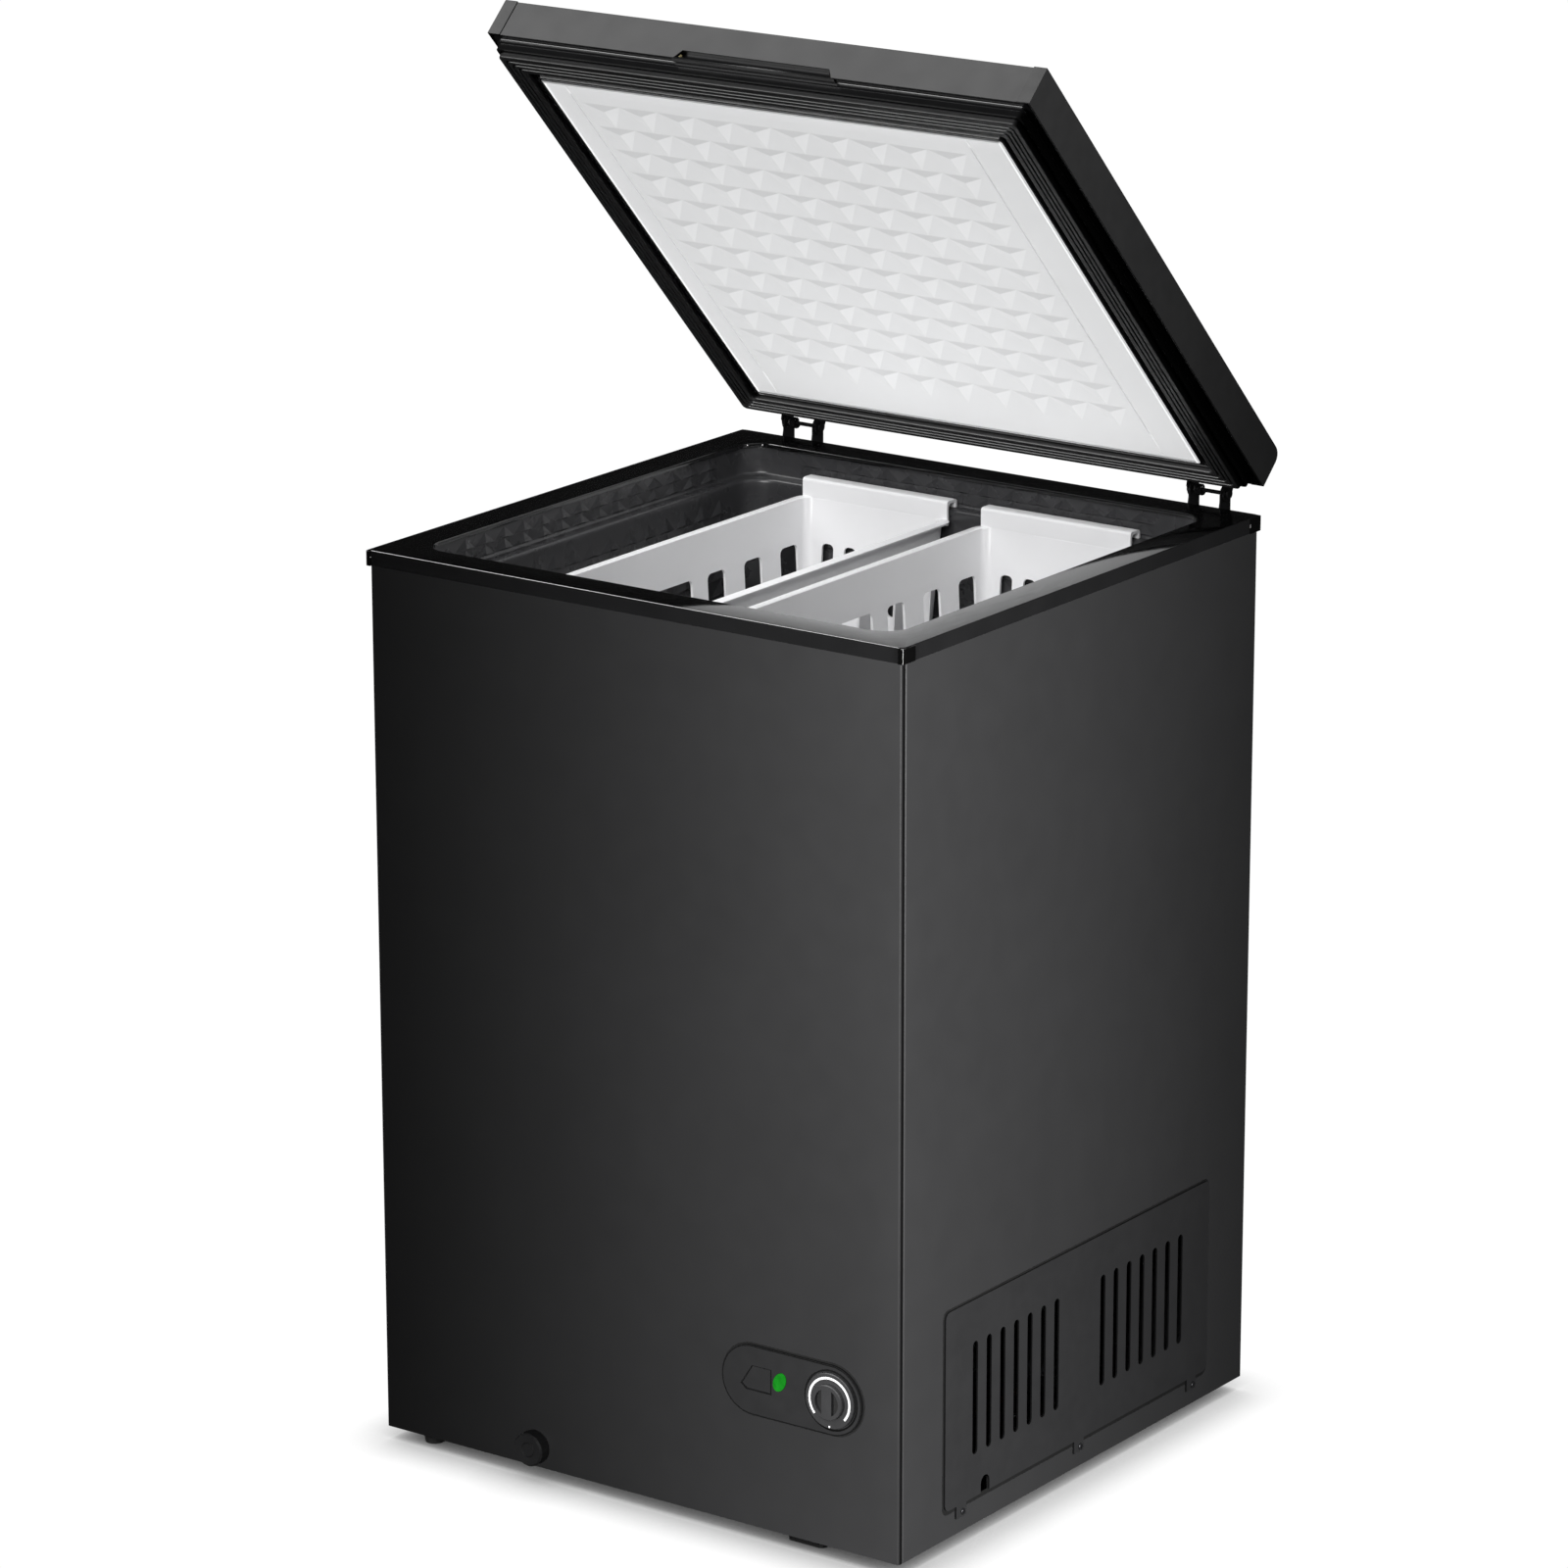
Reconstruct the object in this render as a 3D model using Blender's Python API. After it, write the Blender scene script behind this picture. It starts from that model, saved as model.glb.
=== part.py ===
"""A compact chest freezer, open, with its hinged lid, compressor, controls and two baskets.

X runs along the front, Y from front to back and Z up. The cabinet is modelled round X = 0, Y = 0 with
the floor at Z = 0, and the root empty then moves everything so that the whole object is centred over
the origin. The lid is modelled closed, about the hinge axis, and its empty turns it open.
"""

from math import ceil, cos, pi, radians, sin, tau

import bmesh
import bpy
from mathutils import Matrix, Vector

# ---- Driving dimensions, in metres ---------------------------------------------------------------
GAP = 0.0003  # clearance between pieces that touch
SHEET = 0.0012  # steel sheet
WIDTH = 0.545  # over the top rim
DEPTH = 0.534
RIM_TOP = 0.797
FOOT_HEIGHT = 0.012
CORNER_STEPS = 4  # straight runs in a rounded corner

RIM_HEIGHT = 0.0135
RIM_OVERHANG = 0.002  # how far the rim stands out past the side sheets
RIM_PLATE = 0.0025
RIM_WIDTH = 0.0325
RIM_LIP = 0.004
RIM_CORNER = 0.005
OPENING_CORNER = 0.024

LINER_WALL = 0.0015
LEDGE_DROP = 0.029  # from the rim's top down to the ledge that carries the baskets
LEDGE_WIDTH = 0.012
LINER_TAPER = 0.0053
LINER_FLOOR = 0.062
STEP_X = 0.040  # the floor rises to the right of here, over the compressor
STEP_Z = 0.275

BAY_LEFT = 0.085  # compressor bay
BAY_FRONT = -0.215
BAY_TOP = 0.225
FOAM_BACKSET = 0.0055  # from the sheets to the foam, where the condenser runs

LID_GAP = 0.0145  # from the rim to the lid's lower edge, closed
LID_BAND = 0.0345
LID_SHORT = 0.0037  # how far the lid stops in front of the rim's back edge
LID_CAP = 0.0125
LID_CAP_PROUD = 0.0006
LID_BEND = 0.009
LID_OPEN = 46.56  # degrees, at rest
FRAME_INSET = 0.0075
FRAME_DROP = 0.0088
GASKET_INSET = 0.0115
GASKET_WIDTH = 0.020
GASKET_DROP = 0.0142
LID_LINER_INSET = 0.040
HANDLE_HALF = 0.074
HANDLE_RISE = 0.008

HINGE_X = 0.214  # from the middle to each hinge
HINGE_BACK = 0.0114  # axis behind the rim's back edge
HINGE_RISE = 0.0102  # axis above the rim
HINGE_SHEET = 0.0015
BRACKET_HALF = 0.0165
LEAF_HALF = 0.0185
LEAF_RISE, LEAF_REACH = 0.030, 0.0085  # the leaf's top corner, above and behind the lid's lower back edge
PIN_RADIUS = 0.0018

PLATE_X, PLATE_Z = 0.1633, 0.1437
PLATE_WIDTH, PLATE_HEIGHT, PLATE_THICK = 0.1426, 0.062, 0.0022
DISH_RADIUS, DISH_DEPTH = 0.027, 0.0009
KNOB_SKIRT_RADIUS, KNOB_HUB_RADIUS = 0.0245, 0.0155
KNOB_SKIRT, KNOB_HUB = 0.003, 0.0045
SHAFT_RADIUS = 0.003
LENS_X, LENS_Z = 0.1513, 0.1479
LENS_LONG, LENS_SHORT, LENS_TILT = 0.0090, 0.0060, -28

DRAIN_X, DRAIN_Z = -0.1078, 0.0304
DRAIN_CAP_RADIUS, DRAIN_CAP_DEPTH = 0.015, 0.0115
DRAIN_INLET_Y = -0.190

VENT_FRONT, VENT_BACK = -0.2005, 0.2055
VENT_LOW, VENT_HIGH = 0.0375, 0.2140
VENT_THICK = 0.0015
SCREW_HEAD = 0.0012
SLOT_LOW, SLOT_HIGH, SLOT_WIDTH = 0.076, 0.177, 0.0076
SLOT_PITCH, SLOTS_IN_GROUP = 0.0204, 7
SLOT_STARTS = (-0.1567, 0.0369)
TAB_YS = (-0.1762, 0.0022, 0.1808)
TAB_WIDTH, TAB_DROP = 0.0145, 0.0115
ARCH_Y, ARCH_WIDTH, ARCH_HEIGHT = -0.141, 0.013, 0.015

BASKET_X = 0.095
BASKET_TOP_HALF = (0.0755, 0.2215)  # half width and half length of the body
BASKET_FOOT_HALF = (0.0660, 0.2080)
BASKET_DEPTH = 0.184
BASKET_PITCH, BASKET_SLOT = 0.054, 0.013  # from slot to slot along the sides, and half a slot's width
LOWER_SLOTS, UPPER_SLOTS = (-0.169, -0.117), (-0.103, -0.048)
BASKET_WALL = 0.0025
BASKET_RIM_HALF = 0.082
BASKET_LIP_HALF = (0.0775, 0.2345)
BASKET_LIP = 0.008

# ---- Places worked out from them -----------------------------------------------------------------
HALF_W, HALF_D = WIDTH / 2, DEPTH / 2
SKIN_X, SKIN_Y = HALF_W - RIM_OVERHANG, HALF_D - RIM_OVERHANG
SHEET_X, SHEET_Y = SKIN_X - SHEET, SKIN_Y - SHEET  # inner faces of the sheets
FOAM_X, FOAM_Y = SHEET_X - FOAM_BACKSET, SHEET_Y - FOAM_BACKSET
SHEET_TOP = RIM_TOP - RIM_PLATE - GAP
PAN_TOP = FOOT_HEIGHT + SHEET
LEDGE_Z = RIM_TOP - LEDGE_DROP
LINER_INSET = RIM_WIDTH - 0.0018  # the liner's face, just outside the rim's lip
HINGE_Y, HINGE_Z = HALF_D + HINGE_BACK, RIM_TOP + HINGE_RISE
LID_LOW = RIM_TOP + LID_GAP
LID_HIGH = LID_LOW + LID_BAND
LID_FRONT, LID_BACK = -HALF_D, HALF_D - LID_SHORT
FACE_Y = -SKIN_Y - GAP  # the plane that the controls and the drain cap stand on
VENT_SCREW_X = SKIN_X + GAP + VENT_THICK + GAP


def centre_shift():
    """How far the whole object moves so that its box is centred over the origin in X and Y."""
    angle = radians(LID_OPEN)
    arm_y = LID_BACK + GAP + LEAF_REACH - HINGE_Y
    arm_z = LID_LOW + LEAF_RISE - HINGE_Z
    back = HINGE_Y + arm_y * cos(angle) + arm_z * sin(angle)
    front = FACE_Y - DRAIN_CAP_DEPTH
    right = VENT_SCREW_X + SCREW_HEAD
    return -(right - HALF_W) / 2, -(front + back) / 2, 0


# ---- Materials -----------------------------------------------------------------------------------
def material(name, colour, roughness, metallic=0.0):
    made = bpy.data.materials.new(name)
    made.use_nodes = True
    shader = made.node_tree.nodes["Principled BSDF"]
    shader.inputs["Base Color"].default_value = (*colour, 1)
    shader.inputs["Roughness"].default_value = roughness
    shader.inputs["Metallic"].default_value = metallic
    return made


def clear_scene():
    for obj in list(bpy.data.objects):
        bpy.data.objects.remove(obj)


clear_scene()
BLACK_SHEET = material("black_sheet", (0.035, 0.035, 0.037), 0.42, 0.3)
GLOSS_BLACK = material("gloss_black", (0.008, 0.008, 0.009), 0.08)
BLACK_PLASTIC = material("black_plastic", (0.022, 0.022, 0.023), 0.4)
DARK_LINER = material("dark_liner", (0.045, 0.045, 0.047), 0.4)
WHITE_LINER = material("white_liner", (0.82, 0.83, 0.84), 0.35)
WHITE_PLASTIC = material("white_plastic", (0.85, 0.85, 0.85), 0.4)
FOAM = material("foam", (0.82, 0.72, 0.42), 0.9)
RUBBER = material("rubber", (0.02, 0.02, 0.02), 0.7)
STEEL = material("zinc_steel", (0.6, 0.6, 0.62), 0.35, 1.0)
BARE_BLACK = material("black_enamel", (0.015, 0.015, 0.016), 0.3, 0.2)
COPPER = material("copper", (0.72, 0.38, 0.22), 0.3, 1.0)
GREEN_LENS = material("green_lens", (0.02, 0.55, 0.05), 0.2)


# ---- Mesh tools ----------------------------------------------------------------------------------
def empty(name, location=(0, 0, 0), parent=None):
    made = bpy.data.objects.new(name, None)
    bpy.context.scene.collection.objects.link(made)
    made.location = location
    made.parent = parent
    return made


ROOT = empty("freezer", centre_shift())
LID_PIVOT = empty("lid_pivot", (0, HINGE_Y, HINGE_Z), ROOT)
LID_PIVOT.rotation_euler.x = -radians(LID_OPEN)


def finish_mesh(bm, name):
    bmesh.ops.recalc_face_normals(bm, faces=bm.faces)
    mesh = bpy.data.meshes.new(name)
    bm.to_mesh(mesh)
    bm.free()
    return mesh


def place(name, mesh, surface, parent=ROOT, origin=(0, 0, 0), smooth=False):
    """An object whose mesh is drawn in the cabinet's place, given its own origin."""
    mesh.transform(Matrix.Translation(-Vector(origin)))
    if smooth:
        mesh.shade_smooth()
        mesh.set_sharp_from_angle(angle=radians(35))
    mesh.materials.append(surface)
    made = bpy.data.objects.new(name, mesh)
    bpy.context.scene.collection.objects.link(made)
    made.parent = parent
    made.location = origin
    return made


def place_on_lid(name, mesh, surface, smooth=False):
    """A piece of the lid: drawn closed, then carried by the lid's pivot."""
    made = place(name, mesh, surface, LID_PIVOT, (0, HINGE_Y, HINGE_Z), smooth)
    made.location = (0, 0, 0)
    return made


def combine(target, mesh, operation="DIFFERENCE"):
    """Cuts the target with a mesh drawn in the same place, or joins or intersects them."""
    cutter = bpy.data.objects.new(f"{target.name}_{operation.lower()}_{len(target.modifiers)}", mesh)
    bpy.context.scene.collection.objects.link(cutter)
    on_lid = target.parent == LID_PIVOT
    cutter.parent = target.parent
    mesh.transform(Matrix.Translation((0, -HINGE_Y, -HINGE_Z) if on_lid else (0, 0, 0)))
    cutter.hide_render = True
    cutter.display_type = "WIRE"
    modifier = target.modifiers.new(operation.lower(), "BOOLEAN")
    modifier.operation = operation
    modifier.object = cutter
    return cutter


def boxes(name, *bounds):
    """Separate closed boxes, each from its low corner to its high corner."""
    bm = bmesh.new()
    for low, high in bounds:
        corners = bmesh.ops.create_cube(bm, size=1)["verts"]
        for vert in corners:
            vert.co = [lo + (c + 0.5) * (hi - lo) for c, lo, hi in zip(vert.co, low, high)]
    return finish_mesh(bm, name)


PLANES = {"X": (1, 2, 0), "Y": (0, 2, 1), "Z": (0, 1, 2)}


def axis_point(axis, across, up, along):
    """A point from its place in the plane across an axis, and its place along the axis."""
    point = [0.0, 0.0, 0.0]
    for index, value in zip(PLANES[axis], (across, up, along)):
        point[index] = value
    return point


def prisms(name, outlines, axis, start, end):
    """Closed prisms: each outline lies in the plane across the axis and is drawn from start to end."""
    bm = bmesh.new()
    for outline in outlines:
        first = [bm.verts.new(axis_point(axis, u, v, start)) for u, v in outline]
        last = [bm.verts.new(axis_point(axis, u, v, end)) for u, v in outline]
        bm.faces.new(first)
        bm.faces.new(last)
        for i in range(len(outline)):
            j = (i + 1) % len(outline)
            bm.faces.new((first[i], first[j], last[j], last[i]))
    return finish_mesh(bm, name)


def arc(centre, radius, start, end, steps):
    """Points along an arc, by angles in degrees, both ends included."""
    angles = [radians(start + (end - start) * i / steps) for i in range(steps + 1)]
    return [(centre[0] + radius * cos(a), centre[1] + radius * sin(a)) for a in angles]


def rounded_rectangle(low, high, radius, steps=CORNER_STEPS):
    """A rectangle with rounded corners, starting on its right side and going up."""
    points = []
    for side_u, side_v, start in ((1, 1, 0), (-1, 1, 90), (-1, -1, 180), (1, -1, 270)):
        centre_u = high[0] - radius if side_u > 0 else low[0] + radius
        centre_v = high[1] - radius if side_v > 0 else low[1] + radius
        points += arc((centre_u, centre_v), radius, start, start + 90, steps)
    return points


def circle(centre, radius, sides):
    return arc(centre, radius, 0, 360 - 360 / sides, sides - 1)


def loop(inset, radius, z, half=(HALF_W, HALF_D), middle_y=0.0):
    """The rounded rectangle of the plan, drawn in by an inset, at one height."""
    low = (-half[0] + inset, middle_y - half[1] + inset)
    high = (half[0] - inset, middle_y + half[1] - inset)
    return [(u, v, z) for u, v in rounded_rectangle(low, high, radius)]


def skin(name, loops, closed):
    """Quads between loops of equal count: a closed ring of loops, or a stack with capped ends."""
    bm = bmesh.new()
    rows = [[bm.verts.new(point) for point in points] for points in loops]
    pairs = list(zip(rows, rows[1:]))
    if closed:
        pairs.append((rows[-1], rows[0]))
    else:
        bm.faces.new(rows[0])
        bm.faces.new(rows[-1])
    for low, high in pairs:
        for i in range(len(low)):
            j = (i + 1) % len(low)
            bm.faces.new((low[i], low[j], high[j], high[i]))
    return finish_mesh(bm, name)


def turned(name, profile, axis, centre, sides):
    """A solid turned about a line along the axis; the profile is (radius, place along the axis)."""
    bm = bmesh.new()
    rows = []
    for radius, along in profile:
        if radius == 0:
            rows.append([bm.verts.new(axis_point(axis, *centre, along))])
            continue
        points = circle(centre, radius, sides)
        rows.append([bm.verts.new(axis_point(axis, u, v, along)) for u, v in points])
    pairs = list(zip(rows, rows[1:]))
    if len(rows[0]) > 1:
        pairs.append((rows[-1], rows[0]))
    for low, high in pairs:
        for i in range(sides):
            j = (i + 1) % sides
            if len(low) == 1:
                bm.faces.new((low[0], high[j], high[i]))
            elif len(high) == 1:
                bm.faces.new((low[i], low[j], high[0]))
            else:
                bm.faces.new((low[i], low[j], high[j], high[i]))
    return finish_mesh(bm, name)


def pipe(name, route, radius, bore=0.0, sides=6):
    """A round bar or, with a bore, a tube that follows a route of points."""
    points = [Vector(point) for point in route]
    steps = [(b - a).normalized() for a, b in zip(points, points[1:])]
    headings = [steps[0]] + [(a + b).normalized() for a, b in zip(steps, steps[1:])] + [steps[-1]]
    side = headings[0].orthogonal().normalized()
    bm = bmesh.new()
    outer, inner = [], []
    for point, heading in zip(points, headings):
        side = (side - heading * side.dot(heading)).normalized()
        across = heading.cross(side)
        spokes = [side * cos(tau * i / sides) + across * sin(tau * i / sides) for i in range(sides)]
        outer.append([bm.verts.new(point + spoke * radius) for spoke in spokes])
        if bore:
            inner.append([bm.verts.new(point + spoke * bore) for spoke in spokes])
    rows = outer + inner[::-1]
    pairs = list(zip(rows, rows[1:]))
    if bore:
        pairs.append((rows[-1], rows[0]))
    else:
        bm.faces.new(rows[0])
        bm.faces.new(rows[-1])
    for low, high in pairs:
        for i in range(sides):
            j = (i + 1) % sides
            bm.faces.new((low[i], low[j], high[j], high[i]))
    return finish_mesh(bm, name)


def bend_route(corners, radius, steps=3):
    """A route through corner points, each turned with a curve of about the given radius."""
    points = [Vector(corner) for corner in corners]
    route = [points[0]]
    for before, corner, after in zip(points, points[1:], points[2:]):
        start = corner + (before - corner).normalized() * radius
        end = corner + (after - corner).normalized() * radius
        for i in range(steps + 1):
            t = i / steps
            route.append(start * (1 - t) ** 2 + corner * 2 * t * (1 - t) + end * t**2)
    return route + [points[-1]]


# ---- Cabinet shell -------------------------------------------------------------------------------
def front_panel():
    """Sheet with a small return along each side edge, and holes for the controls and the drain."""
    half = SHEET_X - GAP
    back = -SHEET_Y + 0.004
    outline = [
        (-half, -SKIN_Y),
        (half, -SKIN_Y),
        (half, back),
        (half - SHEET, back),
        (half - SHEET, -SHEET_Y),
        (-half + SHEET, -SHEET_Y),
        (-half + SHEET, back),
        (-half, back),
    ]
    panel = place("front_panel", prisms("front_panel", [outline], "Z", FOOT_HEIGHT, SHEET_TOP), BLACK_SHEET)
    reach = (-SKIN_Y - 0.01, -SHEET_Y + 0.01)
    window = (
        (PLATE_X - 0.052, reach[0], PLATE_Z - 0.021),
        (PLATE_X + 0.060, reach[1], PLATE_Z + 0.021),
    )
    combine(panel, boxes("control_window", window))
    combine(panel, prisms("drain_hole", [circle((DRAIN_X, DRAIN_Z), 0.009, 16)], "Y", *reach))


def side_panels():
    """The right sheet has the opening behind the vent cover."""
    for side, sign in (("left", -1), ("right", 1)):
        xs = sorted((sign * SHEET_X, sign * SKIN_X))
        sheet = ((xs[0], -SKIN_Y + 0.0005, FOOT_HEIGHT), (xs[1], SKIN_Y, SHEET_TOP))
        name = f"{side}_side_panel"
        panel = place(name, boxes(name, sheet), BLACK_SHEET)
        if sign > 0:
            edge = 0.010
            low = (xs[0] - 0.01, VENT_FRONT + edge, VENT_LOW + edge)
            high = (xs[1] + 0.01, VENT_BACK - edge, VENT_HIGH - edge)
            combine(panel, boxes("bay_opening", (low, high)))


def rear_panel():
    half = SHEET_X - GAP
    sheet = ((-half, SHEET_Y, FOOT_HEIGHT), (half, SKIN_Y, SHEET_TOP))
    panel = place("rear_panel", boxes("rear_panel", sheet), BLACK_SHEET)
    gland_hole = circle(CORD_GLAND, 0.009, 16)
    combine(panel, prisms("gland_hole", [gland_hole], "Y", SHEET_Y - 0.01, SKIN_Y + 0.01))


CORD_GLAND = (0.215, 0.060)


def cord_gland():
    """Bushing in the rear panel that the mains lead would come through."""
    front, back = SHEET_Y - GAP, SKIN_Y + GAP
    profile = [
        (0.0045, front - 0.006),
        (0.0120, front - 0.006),
        (0.0120, front),
        (0.0085, front),
        (0.0085, back),
        (0.0120, back),
        (0.0105, back + 0.004),
        (0.0045, back + 0.004),
    ]
    place("cord_gland", turned("cord_gland", profile, "Y", CORD_GLAND, 16), RUBBER, smooth=True)


def bottom_pan():
    half_x, half_y = SHEET_X - GAP - SHEET - GAP, SHEET_Y - 0.004 - GAP
    pan = ((-half_x, -half_y, FOOT_HEIGHT), (half_x, half_y, PAN_TOP))
    place("bottom_pan", boxes("bottom_pan", pan), STEEL)


FEET = {
    "foot_front_left": (-0.234, -0.245),
    "foot_rear_left": (-0.234, 0.240),
    "foot_front_right": (0.164, -0.237),
    "foot_rear_right": (0.164, 0.237),
}


def feet():
    """Round glides on the left, and longer pads under the compressor's side."""
    for name, (x, y) in FEET.items():
        if x < 0:
            profile = [(0, 0), (0.0085, 0), (0.010, FOOT_HEIGHT - GAP), (0, FOOT_HEIGHT - GAP)]
            mesh = turned(name, profile, "Z", (x, y), 16)
        else:
            outline = rounded_rectangle((x - 0.0185, y - 0.012), (x + 0.0185, y + 0.012), 0.004, 2)
            mesh = prisms(name, [outline], "Z", 0, FOOT_HEIGHT - GAP)
        place(name, mesh, RUBBER)


def top_rim():
    """Ring with an outer skirt over the sheets and a short lip into the opening."""
    wall, wall_corner = RIM_OVERHANG - GAP, 0.0008
    lip = 0.0015
    under = RIM_TOP - RIM_PLATE
    loops = [
        loop(0, RIM_CORNER, RIM_TOP - RIM_HEIGHT),
        loop(0, RIM_CORNER, RIM_TOP),
        loop(RIM_WIDTH, OPENING_CORNER, RIM_TOP),
        loop(RIM_WIDTH, OPENING_CORNER, RIM_TOP - RIM_LIP),
        loop(RIM_WIDTH - lip, OPENING_CORNER + lip, RIM_TOP - RIM_LIP),
        loop(RIM_WIDTH - lip, OPENING_CORNER + lip, under),
        loop(wall, wall_corner, under),
        loop(wall, wall_corner, RIM_TOP - RIM_HEIGHT),
    ]
    place("top_rim", skin("top_rim", loops, True), GLOSS_BLACK, smooth=True)


# ---- Liner and insulation ------------------------------------------------------------------------
def liner_inset(z):
    """How far the liner's inner face stands in from the rim's outer edge, below the ledge."""
    return LINER_INSET + LEDGE_WIDTH + LINER_TAPER * (LEDGE_Z - z) / (LEDGE_Z - LINER_FLOOR)


def liner_block(name, outward, top):
    """The liner's inner space, or with an outward offset its outer shape, before the step is cut."""
    radius = OPENING_CORNER + 0.002 + outward
    ledge = LEDGE_Z - outward
    floor = LINER_FLOOR - outward
    loops = [
        loop(liner_inset(LINER_FLOOR) - outward, radius, floor),
        loop(liner_inset(LEDGE_Z) - outward, radius, ledge),
        loop(LINER_INSET - outward, radius, ledge),
        loop(LINER_INSET - outward, radius, top),
    ]
    return skin(name, loops, False)


def inner_liner():
    """Tub with a ledge under the rim and a raised floor over the compressor."""
    liner = place("inner_liner", liner_block("inner_liner", LINER_WALL, RIM_TOP - RIM_PLATE - GAP), DARK_LINER)
    far = 0.5
    under_step = ((STEP_X, -far, 0), (far, far, STEP_Z - LINER_WALL))
    combine(liner, boxes("under_step", under_step))
    cavity = combine(liner, liner_block("cavity", 0, RIM_TOP + 0.01))
    step = ((STEP_X - LINER_WALL, -far, 0), (far, far, STEP_Z))
    combine(cavity, boxes("step", step))
    hole = circle((DRAIN_X, DRAIN_INLET_Y), 0.0078, 12)
    combine(liner, prisms("drain_inlet", [hole], "Z", LINER_FLOOR - 0.01, LINER_FLOOR + 0.01))


def insulation_foam():
    """Block between the sheets and the liner, with the bay, the control pocket and the drain cut out."""
    low, high = PAN_TOP + GAP, RIM_TOP - RIM_HEIGHT
    outline = rounded_rectangle((-FOAM_X, -FOAM_Y), (FOAM_X, FOAM_Y), 0.010, 3)
    foam = place("insulation_foam", prisms("insulation_foam", [outline], "Z", low, high), FOAM)
    pocket_x = HALF_W - LINER_INSET + LINER_WALL + GAP
    pocket_y = HALF_D - LINER_INSET + LINER_WALL + GAP
    floor = LINER_FLOOR - LINER_WALL - GAP
    step_x, step_z = STEP_X + GAP, STEP_Z - LINER_WALL - GAP
    outline = [
        (-pocket_x, floor),
        (step_x, floor),
        (step_x, step_z),
        (pocket_x, step_z),
        (pocket_x, RIM_TOP),
        (-pocket_x, RIM_TOP),
    ]
    combine(foam, prisms("liner_pocket", [outline], "Y", -pocket_y, pocket_y))
    combine(foam, boxes("bay", ((BAY_LEFT, BAY_FRONT, 0), (0.5, 0.5, BAY_TOP))))
    window = ((PLATE_X - 0.060, -0.5, PLATE_Z - 0.026), (PLATE_X + 0.066, BAY_FRONT + 0.01, PLATE_Z + 0.026))
    combine(foam, boxes("control_pocket", window))
    combine(foam, pipe("drain_channel", drain_route(0.02), 0.0085, sides=12))


def bay_wall():
    """Bent sheet between the foam and the compressor."""
    left, top = BAY_LEFT + GAP, BAY_TOP - GAP
    right = SHEET_X - GAP
    low = PAN_TOP + GAP + 0.002 + GAP
    outline = [
        (left, low),
        (left + SHEET, low),
        (left + SHEET, top - SHEET),
        (right, top - SHEET),
        (right, top),
        (left, top),
    ]
    back = FOAM_Y
    place("bay_wall", prisms("bay_wall", [outline], "Y", BAY_FRONT + GAP, back), STEEL)


# ---- Drain ---------------------------------------------------------------------------------------
def drain_route(overrun=0.0):
    """From the front panel back under the floor and up to the inlet; a cutter runs past both ends."""
    corners = [
        (DRAIN_X, -SHEET_Y + GAP - overrun, DRAIN_Z),
        (DRAIN_X, DRAIN_INLET_Y, DRAIN_Z),
        (DRAIN_X, DRAIN_INLET_Y, LINER_FLOOR + overrun),
    ]
    return bend_route(corners, 0.014, 4)


def drain():
    place("drain_tube", pipe("drain_tube", drain_route(), 0.0075, 0.0055, 12), BLACK_PLASTIC, smooth=True)
    low = LINER_FLOOR + GAP
    profile = [(0.0079, low), (0.015, low), (0.0135, low + 0.0015), (0.0079, low + 0.0015)]
    centre = (DRAIN_X, DRAIN_INLET_Y)
    place("drain_fitting", turned("drain_fitting", profile, "Z", centre, 16), BLACK_PLASTIC, smooth=True)
    front = FACE_Y - DRAIN_CAP_DEPTH
    profile = [
        (0, front + 0.0006),
        (0.0055, front + 0.0006),
        (0.0062, front + 0.0014),
        (0.0070, front + 0.0006),
        (0.0135, front),
        (DRAIN_CAP_RADIUS, front + 0.0015),
        (DRAIN_CAP_RADIUS, FACE_Y),
        (0.0050, FACE_Y),
        (0.0050, -SHEET_Y + 0.012),
        (0, -SHEET_Y + 0.012),
    ]
    cap = turned("drain_cap", profile, "Y", (DRAIN_X, DRAIN_Z), 24)
    place("drain_cap", cap, BLACK_PLASTIC, origin=(DRAIN_X, FACE_Y, DRAIN_Z), smooth=True)


# ---- Controls ------------------------------------------------------------------------------------
KNOB_X = PLATE_X + (PLATE_WIDTH - PLATE_HEIGHT) / 2
PLATE_FRONT = FACE_Y - PLATE_THICK


def lens_outline(margin=0.0):
    """An ellipse that leans over with the slanted end of the window beside it."""
    tilt = radians(LENS_TILT)
    points = []
    for i in range(20):
        across = (LENS_SHORT + margin) * cos(tau * i / 20)
        along = (LENS_LONG + margin) * sin(tau * i / 20)
        points.append(
            (
                LENS_X + across * cos(tilt) - along * sin(tilt),
                LENS_Z + across * sin(tilt) + along * cos(tilt),
            )
        )
    return points


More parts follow.
